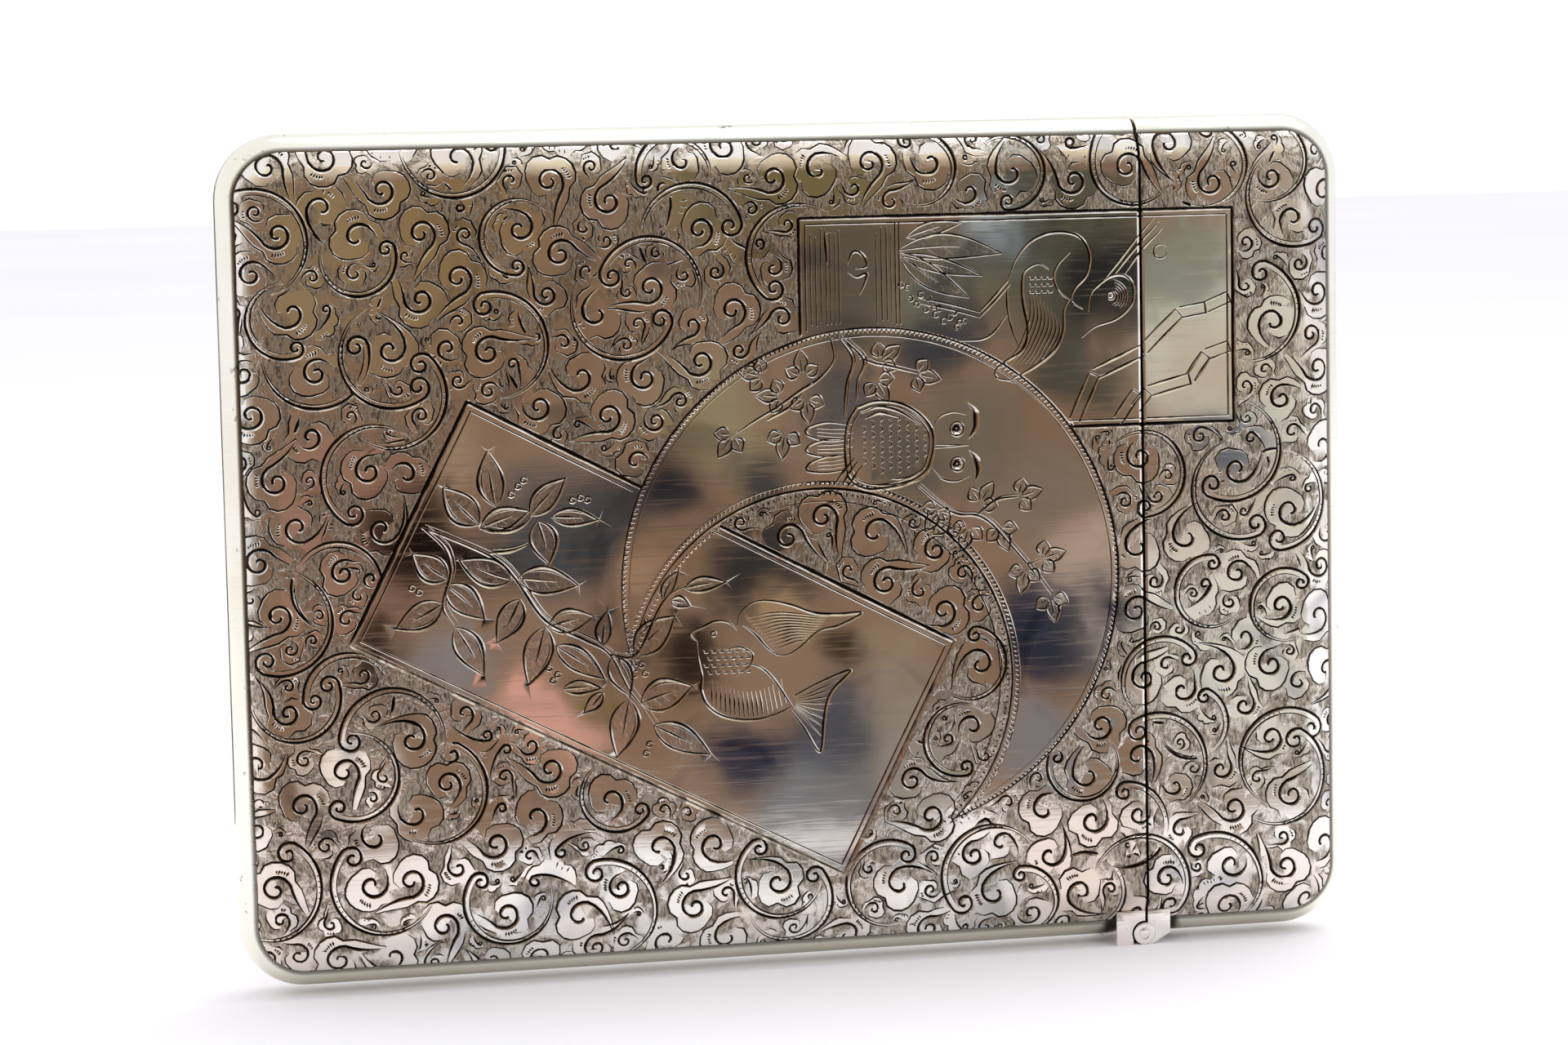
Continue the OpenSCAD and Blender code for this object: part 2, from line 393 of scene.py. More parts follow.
def trefoil(work, centre, angle, size=1.0):
    # three small pointed leaflets from one joint
    for turn, length in ((0, 2.1), (62, 1.5), (-62, 1.5)):
        a = math.radians(angle + turn)
        ray = np.array([math.cos(a), math.sin(a)]) * size
        engraveLeaf(work, np.array(centre) + ray * 0.3, np.array(centre) + ray * length, 1.05 * size, 0, 1,
                    0.22)


panel = {"left": 0.0, "right": 39.4, "top": 66.0, "foot": 47.0, "divider": 8.6}
moonCard = {"outer": ((6.1, 33.9), 22.4), "inner": ((1.4, 25.2), 17.2)}
birdCard = {"corners": [(-29.3, 51.1), (-39.9, 30.6), (3.0, 8.2), (13.4, 28.4)]}


def insidePolygon(x, z, corners):
    # signed distance to a convex outline, positive inside
    depth = None
    for (ax, az), (bx, bz) in zip(corners, corners[1:] + corners[:1]):
        run = math.hypot(bx - ax, bz - az)
        d = ((bx - ax) * (z - az) - (bz - az) * (x - ax)) / run
        depth = d if depth is None else np.minimum(depth, d)
    return depth


def inPanel(x, z):
    return np.minimum(np.minimum(x - panel["left"], panel["right"] - x),
                      np.minimum(panel["top"] - z, z - panel["foot"]))


def inCrescent(x, z):
    (ox, oz), outer = moonCard["outer"]
    (ix, iz), inner = moonCard["inner"]
    return np.minimum(outer - np.hypot(x - ox, z - oz), np.hypot(x - ix, z - iz) - inner)


def inBirdCard(x, z):
    return insidePolygon(x, z, birdCard["corners"])


def inVignette(x, z):
    return np.maximum(np.maximum(inPanel(x, z), inCrescent(x, z)), inBirdCard(x, z))


def keepWhere(points, test):
    # the longest unbroken run of a line for which the test holds
    ok = test(points[:, 0], points[:, 1])
    best, start = (0, 0), None
    for i, good in enumerate(list(ok) + [False]):
        if good and start is None:
            start = i
        if not good and start is not None:
            if i - start > best[1] - best[0]:
                best = (start, i)
            start = None
    return points[best[0]:best[1]]


def border(work, points, width, test=None):
    line = smoothCurve(points, 0.8) if len(points) == 2 else np.array(points)
    if test:
        line = keepWhere(line, test)
    if len(line) > 2:
        cut(work, line, width, 0.8, 0.8, smooth=False)


def engravePanel(work):
    left, right, top, foot = (panel[k] for k in ("left", "right", "top", "foot"))
    (ox, oz), outer = moonCard["outer"]

    def clear(x, z):
        return np.hypot(x - ox, z - oz) > outer + 0.1

    for inset, width in ((0.0, 0.34), (0.55, 0.16)):
        corners = [(left + inset, foot), (left + inset, top - inset), (right - inset, top - inset),
                   (right - inset, foot + inset), (20.0, foot + inset)]
        for a, b in zip(corners, corners[1:]):
            border(work, [a, b], width, clear)
    for x in (panel["divider"], panel["divider"] + 0.35):
        border(work, [(x, top - 0.6), (x, 50.0)], 0.14, clear)
    rng = random.Random(5)
    x = left + 1.0
    while x < panel["divider"] - 0.3:
        # the sub-panel is ruled with fine upright lines, left open round its motif
        motif = 3.9 < x < 6.6
        for a, b in (((top - 0.9, 63.4), (58.8, 50.0)) if motif else ((top - 0.9, 50.0),)):
            border(work, [(x, a - rng.random() * 0.8), (x, b)], 0.09 + 0.03 * rng.random(), clear)
        x += 0.34 + 0.14 * rng.random()
    cut(work, [(4.3, 61.9), (4.7, 62.9), (5.3, 63.0), (5.9, 62.4), (6.0, 61.7), (5.0, 61.5)], 0.24)
    cut(work, [(4.3, 61.2), (5.1, 60.8), (6.0, 61.1), (5.8, 60.2), (5.3, 59.2)], 0.24)
    cut(work, [(2.3, 65.0), (2.4, 63.4), (2.5, 62.0)], 0.26, 0.2, 0.2)
    for k in range(4):
        cut(work, [(1.3 + 0.45 * k, 59.1 + 0.5 * k), (1.6 + 0.45 * k, 59.6 + 0.5 * k)], 0.2)
    # drooping leaf bunch
    for base, tip, width, bend in (((8.9, 63.0), (18.2, 62.5), 2.2, 0.5),
                                   ((8.9, 62.8), (15.2, 58.7), 1.9, -0.3),
                                   ((9.6, 64.1), (14.6, 65.3), 1.2, 0.2),
                                   ((9.0, 62.6), (16.4, 60.6), 1.3, 0.0)):
        engraveLeaf(work, base, tip, width, bend, 5, 0.2)
        middle, upper, lower = leafShape(base, tip, width, bend)
        for i in range(2, 11):
            cut(work, [middle[i], middle[i] * 0.3 + upper[min(i + 1, 12)] * 0.7], 0.1, 0.3, 0.2, step=0.6)
    for k in range(16):
        x, z = 9.2 + 0.38 * k + rng.uniform(-0.2, 0.2), 59.4 - 0.2 * k + rng.uniform(-0.7, 0.7)
        cut(work, arc((x, z), 0.24, rng.random(), 0.8, 0.15), 0.16, 0.3, 0.9, smooth=False)
    engraveHeron(work)
    engraveBamboo(work)


def engraveHeron(work):
    cut(work, [(18.7, 60.0), (19.4, 61.8), (20.6, 63.3), (22.2, 64.1), (24.1, 64.2), (25.5, 63.6),
               (26.2, 62.1), (25.9, 60.4), (24.8, 59.2), (24.5, 58.1), (25.5, 57.4)], 0.24, 0.3, 0.3)
    cut(work, [(24.4, 62.4), (23.3, 61.4), (22.9, 60.2), (23.4, 58.9), (24.3, 58.3)], 0.18, 0.3, 0.3)
    cut(work, [(22.4, 61.0), (21.5, 61.5), (20.3, 60.9), (20.0, 59.8), (20.1, 58.0), (20.5, 55.7),
               (20.0, 54.0), (18.6, 53.1), (17.5, 52.3), (17.6, 51.6), (18.7, 51.3)], 0.27, 0.3, 0.5)
    cut(work, [(18.7, 51.3), (21.1, 52.5), (22.9, 53.9), (23.7, 55.6), (23.8, 57.4), (24.4, 58.4)], 0.27,
        0.4, 0.3)
    cut(work, [(18.7, 60.2), (18.6, 58.2), (19.0, 55.9), (19.8, 54.0)], 0.18, 0.3, 0.3)
    for k in range(9):
        # long feathers down the back
        x = 20.6 + 0.33 * k
        cut(work, [(x, 59.6 - 0.35 * k), (x + 0.1, 57.0 - 0.2 * k), (x - 0.9, 54.4 - 0.12 * k),
                   (x - 2.2 + 0.12 * k, 52.7 + 0.02 * k)], 0.15, 0.2, 0.4)
    for row in range(3):
        for k in range(4):
            arcCut(work, (20.9 + 0.55 * k, 60.4 - 0.6 * row), 0.27, 0.5, 0.5, 0.2, 0.13, 0.3, 0.5)
    # head, eye and long bill
    cut(work, [(26.0, 57.2), (26.2, 58.6), (27.0, 59.5), (28.1, 60.2), (29.2, 60.3), (30.0, 59.7),
               (30.2, 58.3), (29.7, 57.3), (28.5, 56.4), (26.6, 55.8), (25.4, 54.9)], 0.22, 0.3, 0.3)
    arcCut(work, (28.1, 58.5), 0.32, 0, 1, 0.15, 0.16, 0.8, 0.8)
    arcCut(work, (28.1, 58.5), 0.1, 0, 1, 0.1, 0.2, 0.9, 0.9)
    for k in range(5):
        arcCut(work, (28.0, 58.4), 0.7 + 0.22 * k, -0.2 + 0.02 * k, 0.34, 0.25, 0.12, 0.2, 0.2)
    for points in ([(27.0, 59.4), (28.6, 61.2), (30.5, 63.5), (32.2, 65.3)],
                   [(29.4, 60.4), (30.9, 62.4), (32.9, 64.3)], [(28.3, 60.2), (30.6, 62.9), (32.6, 64.9)]):
        cut(work, points, 0.2, 0.4, 0.3, step=0.7)
    # thin legs, bent at the joint
    for dx in (0.0, 0.45):
        cut(work, [(18.8 + dx * 0.2, 60.2 - dx), (17.4, 58.7 - dx), (16.1, 57.4 - dx)], 0.2, 0.5, 0.5)
        cut(work, [(16.1, 57.4 - dx), (13.4, 58.2 - dx), (10.6, 58.8 - dx)], 0.18, 0.5, 0.3)
    cut(work, [(18.7, 57.2), (16.8, 55.2), (14.2, 54.9)], 0.18, 0.4, 0.3)
    arcCut(work, (32.7, 62.3), 0.62, 0.1, 0.9, 0.25, 0.16)


def engraveBamboo(work):
    canes = ([(24.6, 47.5), (26.5, 51.6), (31.0, 53.6), (34.4, 56.8), (36.8, 57.2), (39.0, 58.1)],
             [(30.2, 48.4), (31.4, 49.9), (35.3, 50.9), (36.8, 53.0), (39.0, 53.7)],
             [(28.6, 47.4), (30.4, 49.9)])
    for cane in canes:
        for (ax, az), (bx, bz) in zip(cane, cane[1:]):
            run = math.hypot(bx - ax, bz - az)
            ux, uz = (bx - ax) / run, (bz - az) / run
            for side in (-0.48, 0.48):
                a = (ax - uz * side + ux * 0.12, az + ux * side + uz * 0.12)
                b = (bx - uz * side - ux * 0.12, bz + ux * side - uz * 0.12)
                straightCut(work, a, b, 0.26, 1.0)
            straightCut(work, (bx - uz * 0.5, bz + ux * 0.5), (bx + uz * 0.5, bz - ux * 0.5), 0.24)


def engraveCrescent(work):
    (oc, outer), (ic, inner) = moonCard["outer"], moonCard["inner"]

    def outsideInner(x, z):
        return np.hypot(x - ic[0], z - ic[1]) > inner - 0.3

    def insideOuter(x, z):
        return np.hypot(x - oc[0], z - oc[1]) < outer + 0.3

    # each horn runs out where the two circles meet, at the lower left and lower right
    for extra, width in ((0.0, 0.26), (-0.65, 0.12)):
        line = keepWhere(arc(oc, outer + extra, -0.36, 1.0, 0.6), outsideInner)
        cut(work, line, width, 0.4, 0.4, smooth=False)
        line = keepWhere(arc(ic, inner - extra, -0.36, 1.0, 0.6), insideOuter)
        cut(work, line, width, 0.4, 0.4, smooth=False)
    # rows of small nicks follow both edges
    for centre, radius, pitch, test in ((oc, outer - 0.33, 0.42, outsideInner),
                                        (ic, inner + 0.33, 0.42, insideOuter),
                                        (ic, inner - 0.55, 0.5, insideOuter)):
        spots = keepWhere(arc(centre, radius, -0.36, 1.0, pitch), test)
        for x, z in spots[1:-1]:
            ray = np.array([x - centre[0], z - centre[1]]) / radius
            nick(work, (x - ray[0] * 0.1, z - ray[1] * 0.1), (x + ray[0] * 0.34, z + ray[1] * 0.34), 0.2)

    def clearOfCard(x, z):
        return insideOuter(x, z) & (inBirdCard(x, z) < -0.1)

    line = keepWhere(arc(ic, inner - 1.1, -0.36, 1.0, 0.6), clearOfCard)
    cut(work, line, 0.14, 0.3, 0.3, smooth=False)
    engraveOwl(work)
    engraveSprays(work)


def engraveOwl(work):
    # the owl sits on its branch with its head toward the lid
    centre = (7.9, 46.1)
    for grow, width in ((1.0, 0.28), (0.9, 0.15)):
        cut(work, [(centre[0] + grow * x, centre[1] + grow * z) for x, z in
                   ((-3.0, 3.3), (-1.2, 3.8), (1.0, 3.5), (2.8, 2.4), (3.8, 0.9), (3.8, -0.9), (3.1, -2.6),
                    (1.4, -3.5), (-0.8, -3.9), (-2.5, -3.8), (-3.8, -2.8), (-4.1, -0.3), (-3.8, 2.0),
                    (-3.0, 3.3))], width, 0.8, 0.8)
    for row in range(8):
        for k in range(6):
            x, z = -2.6 + 0.78 * row, -2.3 + 0.92 * k + 0.46 * (row % 2)
            if x * x / 13 + z * z / 10.5 < 0.72:
                arcCut(work, (centre[0] + x, centre[1] + z), 0.34, -0.22, 0.44, 0.22, 0.12)
    for points in ([(5.3, 48.9), (6.9, 49.4), (8.8, 48.9), (10.6, 47.7)],
                   [(11.6, 43.9), (10.4, 42.9), (7.9, 42.5), (5.8, 42.6)],
                   [(5.6, 48.4), (7.0, 48.9), (8.6, 48.4)], [(11.0, 43.9), (9.6, 43.1), (7.9, 43.0)]):
        cut(work, points, 0.26, 0.2, 0.2)
    # eyes, brows and beak
    for z in (47.2, 44.1):
        for radius, width in ((0.22, 0.42), (0.62, 0.16)):
            arcCut(work, (13.9, z), radius, 0, 1, 0.18, width, 0.9, 0.9)
    cut(work, [(14.9, 49.5), (15.6, 48.6), (15.6, 47.3), (14.9, 46.3)], 0.5, 0.1, 0.1)
    cut(work, [(14.9, 45.3), (15.6, 44.5), (15.8, 43.5), (15.5, 42.6)], 0.5, 0.1, 0.1)
    for z in (45.6, 45.9):
        straightCut(work, (11.7, z), (14.9, 45.75), 0.14)
    cut(work, [(11.6, 47.2), (12.3, 48.3), (13.6, 48.7), (14.8, 48.4)], 0.16)
    cut(work, [(11.6, 43.8), (12.4, 42.9), (13.7, 42.6), (15.0, 43.0)], 0.16)
    # tail feathers and claws
    for z, lift in ((47.2, 1.0), (45.9, 0.0), (44.6, -0.9)):
        cut(work, [(4.1, z + 0.7), (2.2, z + 0.8 + lift * 0.2), (0.5, z + 0.3 + lift * 0.3),
                   (0.4, z - 0.3 + lift * 0.3), (2.0, z - 0.7 + lift * 0.1), (4.0, z - 0.6)], 0.2, 0.3, 0.3)
        for k in range(3):
            straightCut(work, (3.8, z + 0.35 - 0.35 * k), (1.3, z + 0.3 - 0.3 * k + lift * 0.2), 0.1)
    for a, b in (((4.6, 45.0), (2.7, 42.7)), ((5.3, 44.3), (3.9, 42.4)), ((4.9, 44.7), (3.3, 42.5))):
        cut(work, [a, b], 0.3, 0.4, 0.2)
    for z in (47.6, 46.4):
        arcCut(work, (4.3, z), 0.4, 0.2, 0.6, 0.2, 0.2)


def engraveSprays(work):
    stems = ([(2.7, 55.4), (2.9, 53.6), (1.5, 52.0), (-0.2, 51.0), (-2.3, 49.6), (-4.3, 48.5),
              (-6.4, 47.2)],
             [(3.4, 55.6), (4.6, 53.6), (4.0, 51.4), (3.7, 48.3)],
             [(3.9, 55.4), (5.6, 53.5), (5.0, 51.8), (4.8, 49.9)],
             [(-3.1, 48.6), (-1.2, 49.6), (0.2, 51.0)], [(5.2, 53.8), (6.6, 53.2), (8.0, 52.9),
                                                         (10.4, 52.2)],
             [(10.3, 42.3), (12.0, 40.8), (13.7, 39.7), (15.5, 39.5), (16.9, 38.7), (18.4, 37.0),
              (20.1, 35.0), (22.2, 32.2)], [(15.5, 39.5), (17.4, 40.8), (19.4, 41.0)],
              [(20.1, 35.0), (21.6, 35.4)], [(18.4, 37.0), (17.6, 37.9)])
    for stem in stems:
        cut(work, stem, 0.24, 0.6, 0.2)
        cut(work, [(x + 0.22, z + 0.22) for x, z in stem], 0.14, 0.4, 0.2)
    leaves = ((-3.4, 52.4, 165), (0.1, 52.3, 95), (-1.8, 50.6, 175), (0.4, 50.4, 275), (-6.2, 47.4, 235),
              (-1.6, 47.4, 262), (7.0, 53.4, 35), (10.2, 52.2, 345), (6.6, 51.8, 300), (15.8, 40.5, 55),
              (19.4, 41.0, 15), (17.6, 38.4, 290), (12.2, 40.2, 235), (21.4, 35.4, 15), (20.0, 34.6, 255),
              (22.2, 32.0, 280), (14.9, 38.6, 250), (13.4, 39.3, 215))
    for x, z, angle in leaves:
        trefoil(work, (x, z), angle, 1.12)


def engraveBirdCard(work):
    a, b, c, d = birdCard["corners"]
    along = np.array(c) - np.array(b)
    along = along / np.hypot(*along)
    across = np.array([-along[1], along[0]])

    def clear(x, z):
        return inCrescent(x, z) < -0.05

    for inset, width in ((0.0, 0.42), (0.62, 0.17)):
        shift = [np.array(a) + (along - across) * inset, np.array(b) + (along + across) * inset,
                 np.array(c) + (across - along) * inset, np.array(d) - (along + across) * inset]
        border(work, [shift[0], shift[1]], width)
        border(work, [shift[1], shift[2]], width)
        border(work, [shift[2], shift[3]], width)
        top = smoothCurve([shift[0], shift[3]], 0.6)
        for half in (top[:len(top) // 2], top[len(top) // 2:]):
            kept = keepWhere(half, clear)
            if len(kept) > 3:
                cut(work, kept, width, 0.8, 0.8, smooth=False)
    engraveBough(work)
    engraveSwallow(work)


def engraveBough(work):
    stems = ([(-33.5, 40.4), (-31.3, 39.5), (-27.3, 37.5), (-25.5, 35.6), (-23.0, 31.9), (-19.7, 30.1),
              (-17.5, 28.7), (-15.9, 25.6), (-15.0, 24.3), (-13.7, 22.3)],
             [(-33.3, 40.3), (-31.6, 38.6), (-31.1, 36.8), (-31.3, 35.7), (-31.9, 33.5), (-31.0, 31.9)],
             [(-28.5, 40.2), (-26.4, 39.8), (-24.9, 40.2), (-23.9, 41.1)],
             [(-27.7, 38.0), (-26.0, 38.1), (-24.6, 38.5)],
             [(-17.5, 28.7), (-15.1, 28.6), (-12.6, 33.2), (-10.2, 34.6)])
    for stem in stems:
        cut(work, stem, 0.3, 0.6, 0.2)
        cut(work, [(x + 0.3, z + 0.3) for x, z in stem], 0.15, 0.4, 0.2)
    leaves = (((-27.1, 42.0), (-27.7, 46.8), 2.2), ((-28.6, 40.5), (-31.6, 43.8), 2.5),
              ((-28.5, 40.2), (-24.2, 41.5), 1.9), ((-24.1, 41.1), (-21.0, 44.2), 1.9),
              ((-23.5, 40.6), (-22.6, 36.8), 2.3), ((-31.4, 35.9), (-34.4, 38.2), 2.2),
              ((-25.9, 35.6), (-30.4, 37.5), 2.3), ((-25.4, 35.7), (-20.1, 34.9), 2.3),
              ((-31.9, 33.8), (-36.0, 31.8), 2.2), ((-31.6, 35.4), (-28.3, 32.3), 2.3),
              ((-25.2, 33.9), (-27.3, 30.2), 2.2), ((-30.9, 31.7), (-28.5, 27.4), 2.3),
              ((-23.1, 31.4), (-24.7, 26.4), 2.5), ((-22.8, 31.4), (-18.8, 32.1), 2.0),
              ((-22.2, 29.7), (-18.0, 26.6), 1.9), ((-17.3, 28.5), (-15.8, 25.0), 2.0),
              ((-15.3, 28.6), (-11.7, 31.8), 2.5), ((-14.9, 24.3), (-10.3, 25.6), 2.7),
              ((-15.9, 24.7), (-17.1, 19.7), 2.5), ((-13.8, 22.3), (-8.8, 19.5), 2.2),
              ((-18.1, 29.5), (-17.6, 32.5), 1.3), ((-12.7, 33.3), (-11.3, 35.7), 1.0),
              ((-10.8, 34.2), (-7.1, 34.6), 1.2), ((-21.7, 25.9), (-18.3, 25.8), 1.1),
              ((-18.2, 25.4), (-19.9, 23.7), 1.1), ((-22.3, 40.9), (-18.2, 40.5), 1.4),
              ((-12.0, 33.2), (-10.3, 32.6), 0.9))
    for base, tip, width in leaves:
        engraveLeaf(work, base, tip, width, 0.1, 3, 0.3)
        middle, left, right = leafShape(base, tip, width * 0.72, 0.1)
        cut(work, left[2:11], 0.13, 0.2, 0.2, smooth=False)
    berries = ((-25.7, 43.0), (-25.1, 43.7), (-24.6, 44.2), (-20.4, 42.3), (-19.7, 42.5), (-19.1, 42.3),
               (-34.5, 35.3), (-33.9, 34.9), (-22.8, 27.8), (-22.1, 27.2), (-22.5, 26.7), (-14.2, 20.7),
               (-14.5, 19.9), (-14.7, 27.7), (-14.4, 26.9))
    for x, z in berries:
        arcCut(work, (x, z), 0.24, 0.1, 0.9, 0.16, 0.2, 0.6, 0.6)


def engraveSwallow(work):
    cut(work, [(-6.2, 30.7), (-5.9, 31.8), (-4.9, 32.6), (-3.5, 32.8), (-1.3, 32.3), (0.8, 31.5),
               (3.0, 31.3), (5.0, 31.3), (2.9, 30.3), (1.1, 29.9), (-0.7, 28.5), (-2.0, 27.9),
               (-3.1, 28.2)], 0.26, 0.3, 0.3)
    cut(work, [(-5.7, 30.7), (-4.6, 29.9), (-3.6, 28.7), (-2.6, 27.9)], 0.2, 0.3, 0.3)
    for k in range(11):
        # wing feathers sweep to the tip
        u = k / 10
        cut(work, [(-5.4 + 2.4 * u, 31.3 - 2.9 * u), (-2.6 + 1.7 * u, 31.7 - 2.6 * u),
                   (1.9 - 1.7 * u, 31.1 - 2.0 * u)], 0.14, 0.2, 0.2, step=0.6)
    cut(work, [(-9.8, 29.5), (-10.4, 30.2), (-9.3, 30.7), (-8.1, 31.2), (-6.9, 31.0), (-6.3, 30.3)], 0.22,
        0.4, 0.3)
    cut(work, [(-9.8, 29.5), (-9.7, 28.0), (-9.4, 26.3), (-9.5, 25.2), (-9.0, 23.9), (-7.8, 22.9),
               (-6.1, 22.4), (-4.2, 22.4), (-2.5, 22.9), (-1.5, 23.4)], 0.26, 0.3, 0.3)
    cut(work, [(-5.6, 27.4), (-4.3, 27.0), (-3.5, 26.4), (-2.7, 25.4), (-1.7, 23.8), (-1.2, 23.1)], 0.22,
        0.3, 0.3)
    arcCut(work, (-8.3, 30.1), 0.2, 0, 1, 0.14, 0.2, 0.9, 0.9)
    for row in range(4):
        for k in range(6):
            x, z = -9.0 + 0.68 * k + 0.34 * (row % 2), 28.7 - 0.62 * row
            arcCut(work, (x, z), 0.27, 0.5, 0.5, 0.18, 0.15)
    for k in range(17):
        # breast and belly strokes
        u = k / 16
        foot = (-8.6 + 6.6 * u, 23.7 - 1.3 * math.sin(math.pi * u * 0.9) + 0.4 * u)
        cut(work, [(foot[0] + 0.1 - 0.5 * u, foot[1] + 2.4 - 0.3 * u), foot], 0.17, 0.2, 0.5, step=0.6)
    cut(work, [(-7.4, 28.6), (-6.0, 28.8), (-4.9, 28.2), (-5.1, 27.2), (-6.3, 26.3)], 0.18, 0.3, 0.3)
    tail = [(-1.2, 24.3), (1.2, 25.4), (3.9, 26.3), (2.5, 24.9), (1.8, 23.8), (1.4, 22.0), (1.0, 19.2),
            (-0.4, 21.4), (-1.6, 23.0)]
    cut(work, tail, 0.26, 0.5, 0.5)
    for k in range(8):
        u = k / 7
        cut(work, [(-1.0 - 0.2 * u, 24.0 - 0.8 * u), (2.9 - 1.8 * u, 25.5 - 4.9 * u)], 0.15, 0.3, 0.2,
            step=0.7)


# The blank oval shield on the back.
shield = {"centre": (0.0, 37.5), "size": (11.0, 8.0)}


def inShield(x, z):
    (cx, cz), (sx, sz) = shield["centre"], shield["size"]
    return (1 - np.hypot((x - cx) / sx, (z - cz) / sz)) * sz


def engraveShield(work):
    (cx, cz), (sx, sz) = shield["centre"], shield["size"]
    u = np.linspace(0, 2 * math.pi, 90)
    for grow, width in ((0.0, 0.32), (-0.6, 0.14)):
        cut(work, np.column_stack([cx + (sx + grow) * np.cos(u), cz + (sz + grow) * np.sin(u)]), width,
            0.9, 0.9, smooth=False)
    for k in range(96):
        a = 2 * math.pi * k / 96
        ray = np.array([math.cos(a), math.sin(a)])
        foot = np.array([cx + (sx - 0.45) * ray[0], cz + (sz - 0.45) * ray[1]])
        nick(work, foot - ray * 0.1, foot + ray * 0.34, 0.18)


# Meshing an engraved plate. No operator cuts a groove that follows a curve, so the plate is triangulated
# from the sides and the deepest line of every cut.
plates = {"slope": 0.8, "lean": 0.55, "edgeWidth": 0.2, "edgeDrop": 0.5, "lipShift": 0.83,
          "shoulderInsets": (0.5, 0.95, 1.45, 2.0, 2.6, 3.2), "shoulderStep": 1.1, "pitch": 1.5,
          "flatFrom": 3.4, "innerInsets": (1.5, 2.4, 3.4), "innerStep": 1.6, "innerDarkening": 0.55,
          "sharpAngle": 14, "least": 0.012, "sampling": 0.07, "fullGrime": 0.06, "waveFade": 4.0,
          "splitShadeShare": 0.3}


def outlineOf(part, inset=0.0, step=0.9):
    # the edge of one plate as a closed loop, stepped in by the inset
    radius = max(case["seamRadius"] - inset, 0.05)
    left, right = -seamHalfX + inset, seamHalfX - inset
    foot, top = case["middle"] - seamHalfZ + inset, case["middle"] + seamHalfZ - inset
    notchTop = case["notchTop"] + inset
    if part == "body":
        end, notch = case["bodyEnd"] - inset, case["notchLeft"] - inset
        corners = [(left + radius, top - radius, 0.25), (left + radius, foot + radius, 0.5)]
        stops = ([(end, notchTop), (end, top)], [(notch, foot), (notch, notchTop)])
    else:
        end, notch = case["lidStart"] + inset, case["notchRight"] + inset
        corners = [(right - radius, foot + radius, 0.75), (right - radius, top - radius, 0.0)]
        stops = ([(notch, notchTop), (notch, foot)], [(end, top), (end, notchTop)])
    loop = [np.array(p) for p in stops[0]]
    for cx, cz, turn in corners:
        loop += list(arc((cx, cz), radius, turn, 0.25, 0.45))
    loop += [np.array(p) for p in stops[1]]
    full = []
    for a, b in zip(loop, loop[1:] + loop[:1]):
        count = max(1, int(np.hypot(*(b - a)) / step))
        full += [a + (b - a) * i / count for i in range(count)]
    return np.array(full)


def insidePart(part, x, z):
    inside = seamDepth(x, z) > 0
    notch = (x > case["notchLeft"]) & (x < case["notchRight"]) & (z < case["notchTop"])
    side = x < case["bodyEnd"] if part == "body" else x > case["lidStart"]
    return inside & side & ~notch


def edgeDistance(part, x, z):
    # distance in from the nearest edge of the plate
    split = case["bodyEnd"] - x if part == "body" else x - case["lidStart"]
    near = np.minimum(seamDepth(x, z), split)
    aside = case["notchLeft"] - x if part == "body" else x - case["notchRight"]
    notch = np.hypot(np.maximum(aside, 0), np.maximum(z - case["notchTop"], 0))
    return np.minimum(near, notch)


class Net:
    # points and edges handed to the triangulation
    def __init__(self):
        self.points, self.edges = [], []

    def add(self, line, closed=False, chain=True):
        first = len(self.points)
        self.points += [(float(p[0]), float(p[1])) for p in line]
        if chain:
            self.edges += [(first + i, first + i + 1) for i in range(len(line) - 1)]
            if closed:
                self.edges.append((first + len(line) - 1, first))
        return first

    def triangles(self):
        points = [Vector(p) for p in self.points]
        found = delaunay_2d_cdt(points, self.edges, [], 0, 1e-4)
        return np.array([(v[0], v[1]) for v in found[0]]), np.array(found[2]), found[3]


def cutFrame(line, half):
    # the two sides of a cut and its deepest line, which lies toward the upper left as the graver leans
    along = np.gradient(line, axis=0)
    along /= np.maximum(np.hypot(along[:, 0], along[:, 1]), 1e-9)[:, None]
    side = np.column_stack([-along[:, 1], along[:, 0]])
    lean = side @ np.array([-0.7, 0.7]) * plates["lean"]
    deep = line + side * (half * lean)[:, None]
    return line + side * half[:, None], line - side * half[:, None], deep, side, lean


